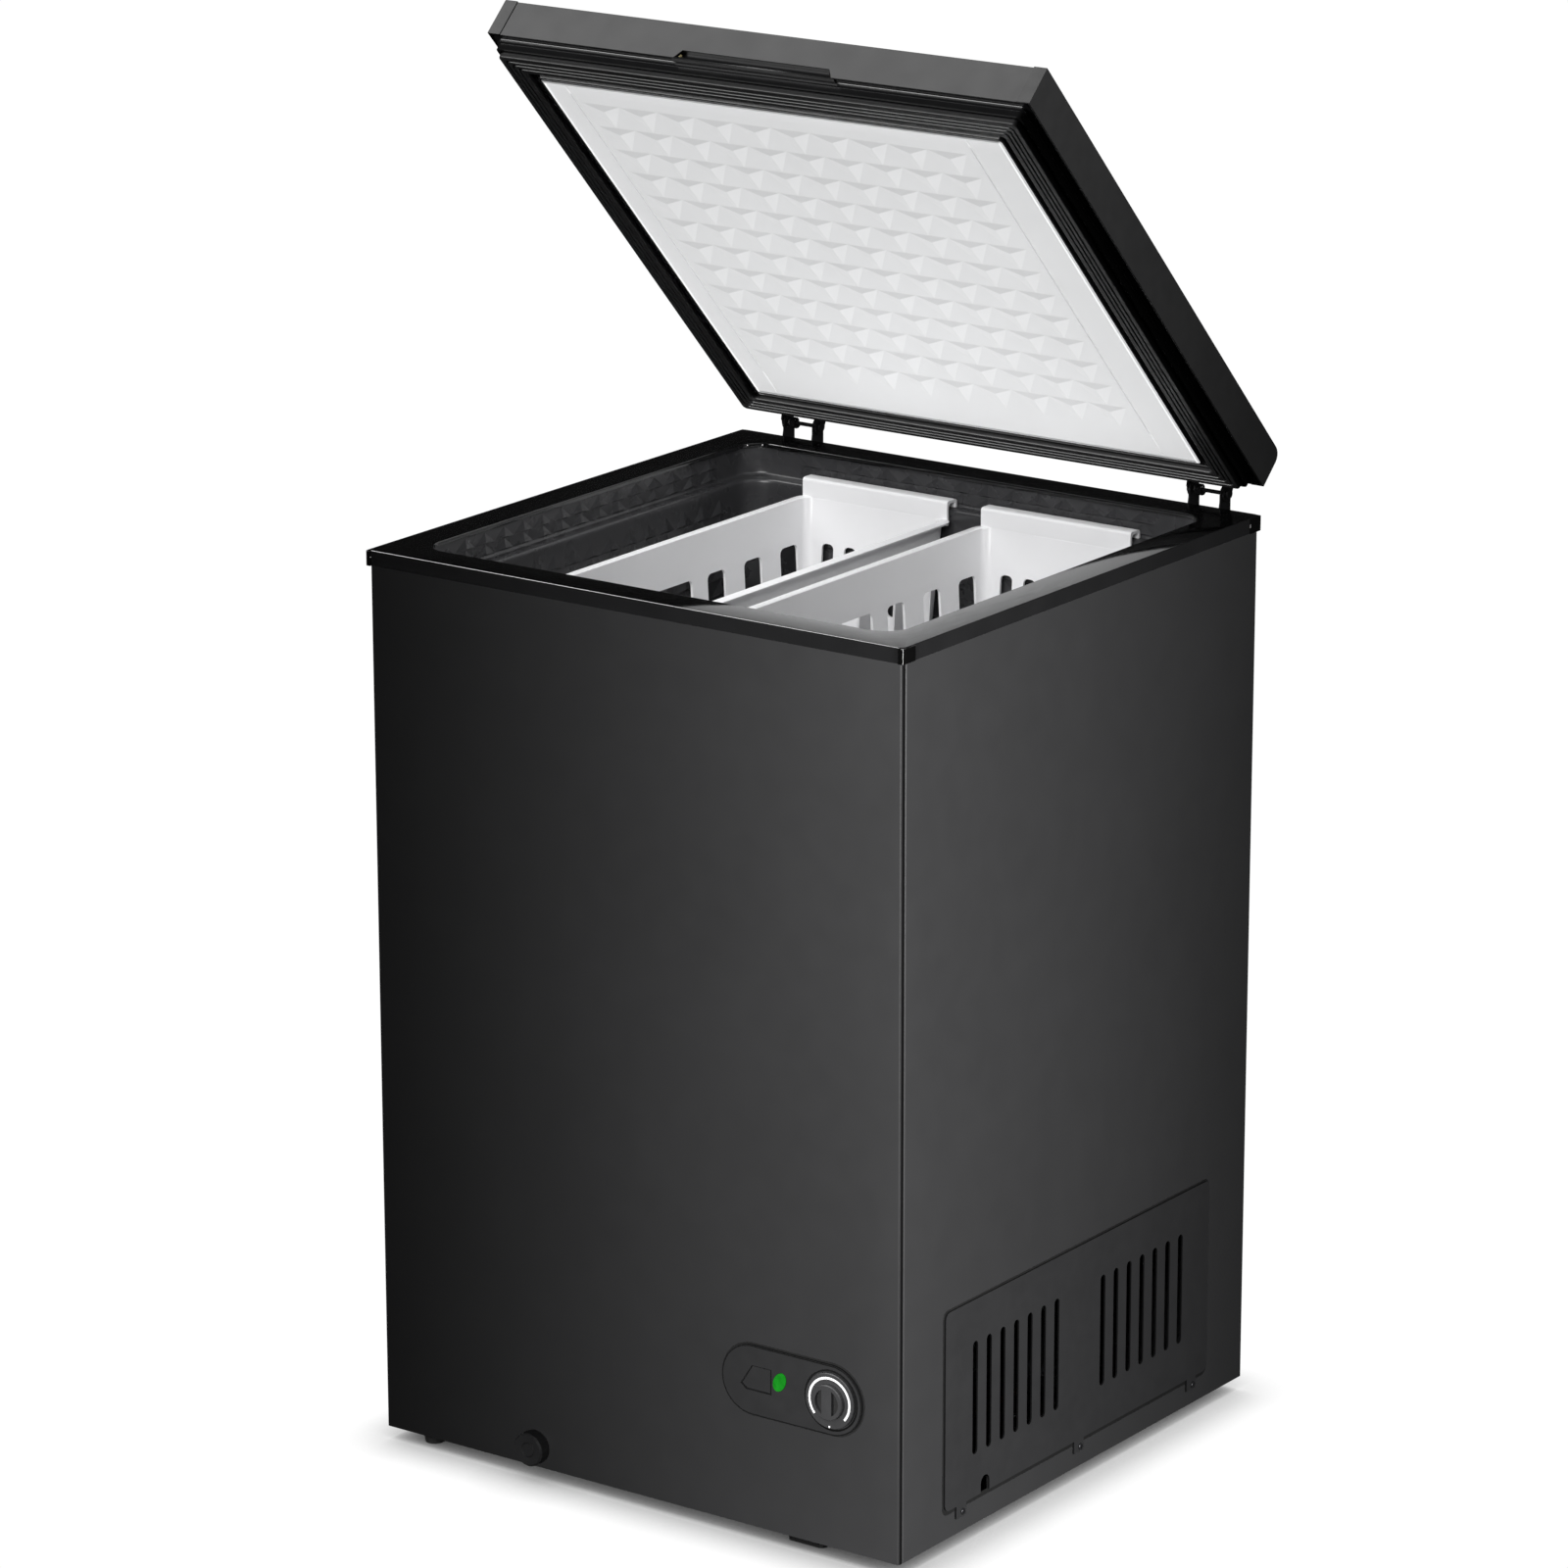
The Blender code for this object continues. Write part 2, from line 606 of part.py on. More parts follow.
def control_plate():
    """Stadium-shaped plate with a label window, the lamp's hole and the dish that holds the knob."""
    low = (PLATE_X - PLATE_WIDTH / 2, PLATE_Z - PLATE_HEIGHT / 2)
    high = (PLATE_X + PLATE_WIDTH / 2, PLATE_Z + PLATE_HEIGHT / 2)
    outline = rounded_rectangle(low, high, PLATE_HEIGHT / 2 - 0.0001, 10)
    plate = place("control_plate", prisms("control_plate", [outline], "Y", PLATE_FRONT, FACE_Y), BLACK_PLASTIC)
    window = [(0.1170, 0.1345), (0.1430, 0.1345), (0.1430, 0.1570), (0.1230, 0.1570), (0.1112, 0.1390)]
    combine(plate, prisms("label_window", [window], "Y", PLATE_FRONT - 0.01, PLATE_FRONT + 0.0008))
    combine(plate, prisms("lamp_hole", [lens_outline(GAP)], "Y", PLATE_FRONT - 0.01, FACE_Y + 0.01))
    dish = circle((KNOB_X, PLATE_Z), DISH_RADIUS, 40)
    combine(plate, prisms("knob_dish", [dish], "Y", PLATE_FRONT - 0.01, PLATE_FRONT + DISH_DEPTH))
    hole = circle((KNOB_X, PLATE_Z), SHAFT_RADIUS + 0.001, 12)
    combine(plate, prisms("shaft_hole", [hole], "Y", PLATE_FRONT - 0.01, FACE_Y + 0.01))


def status_lens():
    lens = prisms("status_lens", [lens_outline()], "Y", PLATE_FRONT - 0.0004, FACE_Y + 0.004)
    place("status_lens", lens, GREEN_LENS)


def thermostat():
    """Body behind the front panel, its shaft, and the knob with its skirt and grip."""
    back = -SHEET_Y + GAP + 0.032
    low = (KNOB_X - 0.019, -SHEET_Y + GAP, PLATE_Z - 0.0165)
    high = (KNOB_X + 0.019, back, PLATE_Z + 0.0165)
    place("thermostat_body", boxes("thermostat_body", (low, high)), STEEL)
    rear = PLATE_FRONT + DISH_DEPTH - GAP
    face = rear - KNOB_SKIRT
    top = face - KNOB_HUB
    socket = rear - 0.0050
    start = -SHEET_Y
    shaft = [(0, socket + GAP), (SHAFT_RADIUS, socket + GAP), (SHAFT_RADIUS, start), (0, start)]
    origin = (KNOB_X, rear, PLATE_Z)
    centre = (KNOB_X, PLATE_Z)
    place("thermostat_shaft", turned("thermostat_shaft", shaft, "Y", centre, 12), STEEL, origin=origin)
    bore = SHAFT_RADIUS + GAP
    profile = [
        (0, top),
        (KNOB_HUB_RADIUS - 0.0006, top),
        (KNOB_HUB_RADIUS, top + 0.0006),
        (KNOB_HUB_RADIUS, face),
        (KNOB_SKIRT_RADIUS - 0.0006, face),
        (KNOB_SKIRT_RADIUS, face + 0.0006),
        (KNOB_SKIRT_RADIUS, rear),
        (bore, rear),
        (bore, socket),
        (0, socket),
    ]
    mesh = turned("temperature_knob", profile, "Y", centre, 32)
    knob = place("temperature_knob", mesh, BLACK_PLASTIC, origin=origin, smooth=True)
    grip, reach, depth = 0.0026, 0.0118, 0.0036
    scoops = []
    for sign in (-1, 1):
        outline = arc((0, 0), reach, -65, 65, 8)
        outline = [(sign * max(u, grip), v) for u, v in outline]
        scoops.append([(u, v) for u, v in dict.fromkeys(outline)])
    cutter = prisms("finger_scoops", scoops, "Y", top - rear - 0.01, top - rear + depth)
    combine(knob, cutter).location = origin


# ---- Vent cover ----------------------------------------------------------------------------------
def vent_outline():
    """The cover's edge: rounded corners, three screw tabs and the arch below, from the lower front."""
    points = []
    features = [(y, "tab") for y in TAB_YS] + [(ARCH_Y, "arch")]
    for y, kind in sorted(features):
        if kind == "tab":
            low, high = y - TAB_WIDTH / 2, y + TAB_WIDTH / 2
            points += [(low, VENT_LOW), (low, VENT_LOW - TAB_DROP), (high, VENT_LOW - TAB_DROP), (high, VENT_LOW)]
        else:
            radius = ARCH_WIDTH / 2
            crown = arc((y, VENT_LOW + ARCH_HEIGHT - radius), radius, 180, 0, 8)
            points += [(y - radius, VENT_LOW), *crown, (y + radius, VENT_LOW)]
    corner = 0.006
    points += arc((VENT_BACK - corner, VENT_LOW + corner), corner, -90, 0, 3)
    points += arc((VENT_BACK - corner, VENT_HIGH - corner), corner, 0, 90, 3)
    points += arc((VENT_FRONT + corner, VENT_HIGH - corner), corner, 90, 180, 3)
    points += arc((VENT_FRONT + corner, VENT_LOW + corner), corner, 180, 270, 3)
    return points


def slot_outlines():
    radius = SLOT_WIDTH / 2
    outlines = []
    for start in SLOT_STARTS:
        for i in range(SLOTS_IN_GROUP):
            y = start + i * SLOT_PITCH
            upper = arc((y, SLOT_HIGH - radius), radius, 0, 180, 6)
            outlines.append(upper + arc((y, SLOT_LOW + radius), radius, 180, 360, 6))
    return outlines


def vent_cover():
    inner, outer = SKIN_X + GAP, SKIN_X + GAP + VENT_THICK
    mesh = prisms("vent_cover", [vent_outline()], "X", inner, outer)
    cover = place("vent_cover", mesh, BLACK_PLASTIC)
    combine(cover, prisms("vent_slots", slot_outlines(), "X", inner - 0.01, outer + 0.01))
    for number, y in enumerate(TAB_YS, 1):
        name = f"vent_screw_{number}"
        start = VENT_SCREW_X
        profile = [(0, start), (0.0029, start), (0.0024, start + 0.001), (0, start + SCREW_HEAD)]
        centre = (y + 0.002, VENT_LOW - TAB_DROP + 0.0045)
        place(name, turned(name, profile, "X", centre, 12), STEEL, smooth=True)


# ---- Cooling circuit -----------------------------------------------------------------------------
PUMP_X, PUMP_Y, PUMP_RADIUS = 0.178, 0.085, 0.060
PUMP_LOW = 0.040
BASE_TOP = PAN_TOP + GAP + 0.002
GROMMET_TOP = BASE_TOP + GAP + 0.014


def compressor():
    """Welded shell on a bracket, four rubber mounts, and the relay's cover."""
    base = ((BAY_LEFT + 0.004, BAY_FRONT + 0.004, PAN_TOP + GAP), (SHEET_X - 0.004, FOAM_Y, BASE_TOP))
    place("compressor_base", boxes("compressor_base", base), STEEL)
    profile = [(0, PUMP_LOW)]
    for i in range(1, 12):
        angle = -pi / 2 + pi * i / 12
        squared = abs(cos(angle)) ** 0.7 * PUMP_RADIUS
        rise = sin(angle)
        profile.append((squared, PUMP_LOW + 0.068 + 0.068 * abs(rise) ** 0.8 * (1 if rise > 0 else -1)))
    profile.append((0, PUMP_LOW + 0.136))
    mesh = turned("compressor_shell", profile, "Z", (PUMP_X, PUMP_Y), 20)
    place("compressor_shell", mesh, BARE_BLACK, smooth=True)
    low = GROMMET_TOP + GAP
    reach_x, reach_y = 0.074, 0.056
    bracket = (
        (PUMP_X - reach_x, PUMP_Y - reach_y, low),
        (PUMP_X + reach_x, PUMP_Y + reach_y, low + 0.0025),
    )
    place("compressor_bracket", boxes("compressor_bracket", bracket), STEEL)
    number = 0
    for side_x in (-1, 1):
        for side_y in (-1, 1):
            number += 1
            name = f"rubber_mount_{number}"
            start = BASE_TOP + GAP
            profile = [(0, start), (0.009, start), (0.007, start + 0.006), (0.009, GROMMET_TOP), (0, GROMMET_TOP)]
            centre = (PUMP_X + side_x * (reach_x - 0.011), PUMP_Y + side_y * (reach_y - 0.011))
            place(name, turned(name, profile, "Z", centre, 12), RUBBER)
    side = PUMP_X - PUMP_RADIUS - 0.0008
    relay = ((side - 0.020, PUMP_Y - 0.020, 0.085), (side, PUMP_Y + 0.020, 0.130))
    place("relay_cover", boxes("relay_cover", relay), BLACK_PLASTIC)


def refrigerant_lines():
    """Drier, and the suction and discharge tubes between the compressor and the bay's ceiling."""
    drier_x, drier_y = 0.115, -0.060
    profile = [
        (0, 0.060),
        (0.003, 0.060),
        (0.0085, 0.072),
        (0.0085, 0.150),
        (0.003, 0.162),
        (0, 0.162),
    ]
    place("filter_drier", turned("filter_drier", profile, "Z", (drier_x, drier_y), 12), COPPER, smooth=True)
    top = BAY_TOP - GAP - SHEET - 0.003
    start = PUMP_LOW + 0.136 + GAP
    suction = [
        (PUMP_X, PUMP_Y, start),
        (PUMP_X, PUMP_Y, 0.200),
        (PUMP_X, -0.020, 0.200),
        (0.140, -0.020, 0.200),
        (0.140, -0.020, top),
    ]
    place("suction_tube", pipe("suction_tube", bend_route(suction, 0.012), 0.0032), COPPER, smooth=True)
    discharge = [
        (drier_x, drier_y, 0.162 + GAP),
        (drier_x, drier_y, 0.190),
        (drier_x, -0.150, 0.190),
        (0.160, -0.150, 0.190),
        (0.160, -0.150, 0.060),
        (PUMP_X + 0.020, -0.150, 0.060),
        (PUMP_X + 0.020, PUMP_Y - PUMP_RADIUS - 0.004, 0.060),
    ]
    place("discharge_tube", pipe("discharge_tube", bend_route(discharge, 0.010), 0.0025), COPPER, smooth=True)


def evaporator_coil():
    """Tube wound round the liner above the step, each turn following the liner's taper."""
    radius, first, last, turns = 0.003, 0.300, 0.735, 7
    corner = OPENING_CORNER + 0.008
    corners = ((1, -1), (1, 1), (-1, 1), (-1, -1))
    count = turns * 4
    route = []
    for i in range(count + 1):
        sign_x, sign_y = corners[i % 4]
        z = first + (last - first) * i / count
        reach = -liner_inset(z) + LINER_WALL + GAP + radius + 0.0004
        route.append((sign_x * (HALF_W + reach), sign_y * (HALF_D + reach), z))
    path = bend_route(route, corner, 4)
    place("evaporator_coil", pipe("evaporator_coil", path, radius), COPPER, smooth=True)


def condenser_coil():
    """Tube that runs to and fro on the inside of the left, rear and right sheets."""
    radius, passes, low, pitch, turn = 0.0021, 6, 0.280, 0.080, 0.012
    x, y = SHEET_X - 0.0027, SHEET_Y - 0.0027
    front = -0.235
    route = []
    for i in range(passes):
        z = low + i * pitch
        run = [(-x, front, z), (-x, y, z), (x, y, z), (x, front, z)]
        route += run if i % 2 == 0 else run[::-1]
    path = bend_route(route, turn, 3)
    place("condenser_coil", pipe("condenser_coil", path, radius), COPPER, smooth=True)


# ---- Hinges --------------------------------------------------------------------------------------
def channel_outline(x, half, front, back, sheet):
    """Plan of a channel whose web is at the front and whose cheeks run back."""
    return [
        (x - half, front),
        (x + half, front),
        (x + half, back),
        (x + half - sheet, back),
        (x + half - sheet, front + sheet),
        (x - half + sheet, front + sheet),
        (x - half + sheet, back),
        (x - half, back),
    ]


def hinge_bracket(side, x):
    """Channel screwed to the rear panel; its cheeks rise behind the rim and carry the pin."""
    front = SKIN_Y + GAP
    low, shoulder = RIM_TOP - 0.062, RIM_TOP - RIM_HEIGHT - GAP
    behind = HALF_D + 0.0006
    name = f"hinge_bracket_{side}"
    plan = channel_outline(x, BRACKET_HALF, front, HINGE_Y + 0.02, HINGE_SHEET)
    mesh = prisms(name, [plan], "Z", low, HINGE_Z + 0.02)
    bracket = place(name, mesh, BARE_BLACK)
    round_top = arc((HINGE_Y, HINGE_Z), 0.0078, 0, 180, 10)
    profile = [
        (front - 0.001, low - 0.001),
        (front + 0.004, low - 0.001),
        (HINGE_Y + 0.0078, low + 0.030),
        *round_top,
        (HINGE_Y - 0.0078, HINGE_Z - 0.006),
        (behind, shoulder + 0.003),
        (behind, shoulder),
        (front - 0.001, shoulder),
    ]
    combine(bracket, prisms("bracket_profile", [profile], "X", x - 0.03, x + 0.03), "INTERSECT")
    hole = circle((HINGE_Y, HINGE_Z), PIN_RADIUS + 0.0003, 12)
    combine(bracket, prisms("bracket_pin_hole", [hole], "X", x - 0.03, x + 0.03))


def hinge_leaf(side, x):
    """Channel screwed to the lid's back edge; its cheeks reach over to the pin outside the bracket's."""
    front = LID_BACK + GAP
    name = f"hinge_leaf_{side}"
    plan = channel_outline(x, LEAF_HALF, front, HINGE_Y + 0.02, HINGE_SHEET)
    low, high = LID_LOW + 0.003, LID_LOW + LEAF_RISE
    leaf = place_on_lid(name, prisms(name, [plan], "Z", HINGE_Z - 0.02, high), BARE_BLACK)
    profile = [
        (front - 0.001, low),
        (HINGE_Y - 0.0085, HINGE_Z - 0.0035),
        *arc((HINGE_Y, HINGE_Z), 0.0068, 220, 400, 10),
        (front + LEAF_REACH, high),
        (front + LEAF_REACH, high + 0.001),
        (front - 0.001, high + 0.001),
    ]
    combine(leaf, prisms("leaf_profile", [profile], "X", x - 0.03, x + 0.03), "INTERSECT")
    hole = circle((HINGE_Y, HINGE_Z), PIN_RADIUS + 0.0004, 12)
    combine(leaf, prisms("leaf_pin_hole", [hole], "X", x - 0.03, x + 0.03))


def hinge_pin(side, x):
    shank, head = LEAF_HALF + 0.0006, LEAF_HALF + 0.0022
    profile = [
        (0, x - head),
        (0.0042, x - head),
        (0.0042, x - shank),
        (PIN_RADIUS, x - shank),
        (PIN_RADIUS, x + shank),
        (0.0042, x + shank),
        (0.0042, x + head),
        (0, x + head),
    ]
    name = f"hinge_pin_{side}"
    place(name, turned(name, profile, "X", (HINGE_Y, HINGE_Z), 12), STEEL, smooth=True)


def hinge_spring(side, x):
    """Torsion spring wound tightly round the pin, beside the bracket's left cheek."""
    turns, steps, length, radius = 4, 10, 0.0074, 0.0044
    start = x - BRACKET_HALF + HINGE_SHEET + 0.0012
    route = []
    for i in range(turns * steps + 1):
        angle = tau * i / steps
        along = start + length * i / (turns * steps)
        route.append((along, HINGE_Y + radius * cos(angle), HINGE_Z + radius * sin(angle)))
    name = f"hinge_spring_{side}"
    place(name, pipe(name, route, 0.0008, sides=5), STEEL, smooth=True)


def hinges():
    for side, sign in (("left", -1), ("right", 1)):
        x = sign * HINGE_X
        hinge_bracket(side, x)
        hinge_pin(side, x)
        hinge_spring(side, x)
        hinge_leaf(side, x)


# ---- Lid -----------------------------------------------------------------------------------------
def lid_profile(front, back, low, high, bend):
    """Side view of a folded lid: square at the front, bent at the back."""
    crown = arc((back - bend, high - bend), bend, 0, 90, 5)
    return [(back, low), *crown, (front, high), (front, low)]


def lid_skin():
    """Folded sheet: the top, the front band with the handle's notch, and the back band."""
    half = HALF_W - LID_CAP - GAP
    outer = lid_profile(LID_FRONT, LID_BACK, LID_LOW, LID_HIGH, LID_BEND)
    inner = lid_profile(LID_FRONT + SHEET, LID_BACK - SHEET, LID_LOW, LID_HIGH - SHEET, LID_BEND - SHEET)
    mesh = prisms("lid_skin", [outer + inner[::-1]], "X", -half, half)
    sheet = place_on_lid("lid_skin", mesh, BLACK_SHEET, smooth=True)
    slope = 0.006
    notch = [
        (-HANDLE_HALF - slope, LID_LOW - 0.001),
        (HANDLE_HALF + slope, LID_LOW - 0.001),
        (HANDLE_HALF, LID_LOW + HANDLE_RISE),
        (-HANDLE_HALF, LID_LOW + HANDLE_RISE),
    ]
    combine(sheet, prisms("handle_notch", [notch], "Y", LID_FRONT - 0.01, LID_FRONT + 0.004))


def lid_caps():
    """End caps that close the folded sheet and wrap round the front and back bands."""
    wall = 0.002
    proud = LID_CAP_PROUD
    outer = lid_profile(LID_FRONT - proud, LID_BACK + proud, LID_LOW, LID_HIGH + proud, LID_BEND + proud)
    inner = lid_profile(
        LID_FRONT + SHEET, LID_BACK - SHEET, LID_LOW - 0.01, LID_HIGH - SHEET, LID_BEND - SHEET
    )
    for side, sign in (("left", -1), ("right", 1)):
        name = f"lid_cap_{side}"
        ends = sorted((sign * (HALF_W - LID_CAP), sign * HALF_W))
        cap = place_on_lid(name, prisms(name, [outer], "X", *ends), BLACK_PLASTIC, smooth=True)
        hollow = sorted((sign * (HALF_W - LID_CAP - 0.01), sign * (HALF_W - wall)))
        combine(cap, prisms("cap_hollow", [inner], "X", *hollow))


def lid_loop(inset, z, radius=0.004):
    half = (HALF_W, (LID_BACK - LID_FRONT) / 2)
    return loop(inset, radius, z, half, (LID_FRONT + LID_BACK) / 2)


def handle_clearance(margin):
    """The space in front of the frame that the handle's insert takes up."""
    half = HANDLE_HALF + 0.0015 + margin
    low = (-half, LID_FRONT + SHEET, LID_LOW - FRAME_DROP + 0.002)
    high = (half, LID_FRONT + FRAME_INSET - 0.0002, LID_LOW + HANDLE_RISE + 0.002 + margin)
    return low, high


def lid_frame():
    """Stepped ring under the lid: a ledge, a drop, the plate that holds the gasket and the liner's seat."""
    wall = 0.0015
    plate = LID_LOW - FRAME_DROP
    loops = [
        lid_loop(0.0030, LID_LOW + 0.0005),
        lid_loop(FRAME_INSET, LID_LOW + 0.0005),
        lid_loop(FRAME_INSET, plate),
        lid_loop(LID_LINER_INSET - wall, plate),
        lid_loop(LID_LINER_INSET - wall, plate - 0.0030),
        lid_loop(LID_LINER_INSET, plate - 0.0030),
        lid_loop(LID_LINER_INSET, plate + wall),
        lid_loop(FRAME_INSET + wall, plate + wall),
        lid_loop(FRAME_INSET + wall, LID_LOW + 0.0020),
        lid_loop(0.0030, LID_LOW + 0.0020),
    ]
    frame = place_on_lid("lid_frame", skin("lid_frame", loops, True), BLACK_PLASTIC)
    combine(frame, boxes("handle_gap", handle_clearance(GAP)))


def lid_handle():
    """Insert behind the notch: a roof and a back wall that the fingers pull against."""
    low, high = handle_clearance(0)
    roof, wall = high[2] - 0.0012, high[1] - 0.0012
    front = low[1] + GAP
    outline = [(wall, low[2]), (high[1] - GAP, low[2]), (high[1] - GAP, high[2]), (front, high[2])]
    outline += [(front, roof), (wall, roof)]
    mesh = prisms("lid_handle", [outline], "X", low[0], high[0])
    place_on_lid("lid_handle", mesh, BLACK_PLASTIC)


def lid_foam():
    plate = LID_LOW - FRAME_DROP
    loops = [
        lid_loop(LID_LINER_INSET + 0.0005, plate - 0.0011),
        lid_loop(LID_LINER_INSET + 0.0005, plate + 0.0018),
        lid_loop(FRAME_INSET + 0.0018, plate + 0.0018),
        lid_loop(FRAME_INSET + 0.0018, LID_LOW + 0.0023),
        lid_loop(0.0030, LID_LOW + 0.0023),
        lid_loop(0.0030, LID_HIGH - 0.0100),
        lid_loop(0.0068, LID_HIGH - 0.0022),
    ]
    foam = place_on_lid("lid_foam", skin("lid_foam", loops, False), FOAM)
    low, high = handle_clearance(GAP)
    combine(foam, boxes("handle_room", (low, (high[0], high[1] + 0.001, high[2]))))


def lid_liner():
    bottom = LID_LOW - FRAME_DROP - 0.0034
    loops = [lid_loop(LID_LINER_INSET + GAP, bottom), lid_loop(LID_LINER_INSET + GAP, bottom + 0.0020)]
    place_on_lid("lid_liner", skin("lid_liner", loops, False), WHITE_LINER)


def lid_gasket():
    top, bottom = LID_LOW - FRAME_DROP - GAP, LID_LOW - GASKET_DROP
    inner = GASKET_INSET + GASKET_WIDTH
    loops = [
        lid_loop(GASKET_INSET, bottom),
        lid_loop(GASKET_INSET, top),
        lid_loop(inner, top),
        lid_loop(inner, bottom),
    ]
    place_on_lid("lid_gasket", skin("lid_gasket", loops, True), RUBBER)


# ---- Baskets -------------------------------------------------------------------------------------
def basket_shell(name):
    """Open tapered box with side rims and raised ends that curl out to hang on the ledge.

    Its own origin is under the hanging lips, midway along and across.
    """
    (top_x, top_y), (foot_x, foot_y) = BASKET_TOP_HALF, BASKET_FOOT_HALF
    side_top = -BASKET_LIP
    foot = -BASKET_DEPTH
    wall, corner = BASKET_WALL, 0.010

    def ring(half_x, half_y, radius, z):
        return [(u, v, z) for u, v in rounded_rectangle((-half_x, -half_y), (half_x, half_y), radius, 3)]

    loops = [
        ring(foot_x, foot_y, corner, foot),
        ring(top_x, top_y, corner, side_top - 0.002),
        ring(BASKET_RIM_HALF, top_y + 0.002, corner, side_top - 0.002),
        ring(BASKET_RIM_HALF, top_y + 0.002, corner, side_top),
        ring(top_x - wall, top_y - wall, corner - wall, side_top),
        ring(foot_x - wall, foot_y - wall, corner - wall, foot + wall),
    ]
    return skin(name, loops, False)


def basket_end(sign):
    """Side view of a raised end with its curled lip, from below the rim up and over."""
    inner, outer = sign * (BASKET_TOP_HALF[1] - BASKET_WALL), sign * BASKET_TOP_HALF[1]
    tip = sign * BASKET_LIP_HALF[1]
    hook = tip - sign * BASKET_WALL
    low, high = -BASKET_LIP - 0.0015, BASKET_LIP
    under = high - BASKET_WALL
    return [
        (inner, low),
        (outer, low),
        (outer, under - 0.003),
        (outer + sign * 0.002, under),
        (hook, under),
        (hook, 0),
        (tip, 0),
        (tip, high - 0.002),
        (tip - sign * 0.002, high),
        (inner, high),
    ]


def side_slots():
    """Cutters for the long sides: seven slots below, and above them three each side of a wide window."""
    far = 0.1
    cutters = []
    for heights, steps in ((LOWER_SLOTS, range(-3, 4)), (UPPER_SLOTS, (-3.5, -2.5, -1.5, 1.5, 2.5, 3.5))):
        for step in steps:
            y = step * BASKET_PITCH
            cutters.append(((-far, y - BASKET_SLOT, heights[0]), (far, y + BASKET_SLOT, heights[1])))
    window = 0.046
    cutters.append(((-far, -window, UPPER_SLOTS[1] - 0.033), (far, window, UPPER_SLOTS[1])))
    return cutters


def end_slots():
    """Cutters for the two ends: three slots below and five narrower ones above."""
    far = 0.3
    cutters = []
    for heights, count, pitch, half in ((LOWER_SLOTS, 3, 0.040, 0.0095), (UPPER_SLOTS, 5, 0.024, 0.0062)):
        for i in range(count):
            x = (i - (count - 1) / 2) * pitch
            cutters.append(((x - half, -far, heights[0]), (x + half, far, heights[1])))
    return cutters


def floor_slots():
    cutters = []
    for i in range(-5, 6):
        for sign in (-1, 1):
            y = i * 0.036
            x_low, x_high = sorted((sign * 0.006, sign * 0.054))
            cutters.append(((x_low, y - 0.011, -BASKET_DEPTH - 0.01), (x_high, y + 0.011, 0.01 - BASKET_DEPTH)))
    return cutters


def basket(name, pivot):
    body = place(name, basket_shell(name), WHITE_PLASTIC, pivot)
    for sign in (-1, 1):
        end = prisms(f"{name}_end", [basket_end(sign)], "X", -BASKET_LIP_HALF[0], BASKET_LIP_HALF[0])
        combine(body, end, "UNION")
    for label, cutters in (("sides", side_slots()), ("ends", end_slots()), ("floor", floor_slots())):
        combine(body, boxes(f"{name}_{label}", *cutters))


def baskets():
    """Two side by side, hung on the ledge. Each can be slid along it, and lifted out."""
    for side, sign in (("left", -1), ("right", 1)):
        name = f"{side}_basket"
        hung = empty(f"{name}_place", (sign * BASKET_X, 0, LEDGE_Z + GAP), ROOT)
        basket(name, hung)


def build():
    front_panel()
    side_panels()
    rear_panel()
    cord_gland()
    bottom_pan()
    feet()
    top_rim()
    inner_liner()
    insulation_foam()
    bay_wall()
    drain()
    control_plate()
    status_lens()
    thermostat()
    vent_cover()
    compressor()
    refrigerant_lines()
    evaporator_coil()
    condenser_coil()
    hinges()
    lid_skin()
    lid_caps()
    lid_frame()
    lid_handle()
    lid_foam()
    lid_liner()
    lid_gasket()
    baskets()


build()
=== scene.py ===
"""Looks of the compact chest freezer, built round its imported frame.

Pieces are drawn with X = 0 and Y = 0 in the middle of the top rim, and with the lid closed. add() then
moves each by SHIFT to the frame's own place, and first turns those of the lid by LID_TURN, as it is open
at rest. Lengths are in metres.
"""

from math import atan, cos, pi, radians, sin

import bmesh
import bpy
from mathutils import Matrix, Vector


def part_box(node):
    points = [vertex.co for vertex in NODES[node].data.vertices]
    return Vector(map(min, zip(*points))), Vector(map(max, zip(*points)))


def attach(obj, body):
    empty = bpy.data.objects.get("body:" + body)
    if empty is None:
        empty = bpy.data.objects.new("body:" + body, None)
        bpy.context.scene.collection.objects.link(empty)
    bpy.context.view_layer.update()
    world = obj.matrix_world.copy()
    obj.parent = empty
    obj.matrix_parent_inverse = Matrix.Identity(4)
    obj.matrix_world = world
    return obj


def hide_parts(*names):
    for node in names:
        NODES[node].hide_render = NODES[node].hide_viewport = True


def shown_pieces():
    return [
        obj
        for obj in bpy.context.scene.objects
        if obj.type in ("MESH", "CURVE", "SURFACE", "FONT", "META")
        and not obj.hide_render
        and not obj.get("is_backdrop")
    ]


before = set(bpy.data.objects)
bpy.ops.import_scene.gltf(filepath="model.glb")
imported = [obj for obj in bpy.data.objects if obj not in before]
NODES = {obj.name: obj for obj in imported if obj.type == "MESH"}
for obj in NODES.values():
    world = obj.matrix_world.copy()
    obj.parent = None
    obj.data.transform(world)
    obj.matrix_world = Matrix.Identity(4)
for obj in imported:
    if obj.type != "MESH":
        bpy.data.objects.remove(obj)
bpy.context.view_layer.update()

# ---- Sizes ---------------------------------------------------------------------------------------
rim_low, rim_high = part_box("top_rim")
HALF_W, HALF_D = (rim_high.x - rim_low.x) / 2, (rim_high.y - rim_low.y) / 2
RIM_TOP, RIM_BASE = rim_high.z, rim_low.z
SHIFT = Vector(((rim_low.x + rim_high.x) / 2, (rim_low.y + rim_high.y) / 2, 0))
SKIN_X, SKIN_Y = HALF_W - 0.002, HALF_D - 0.002
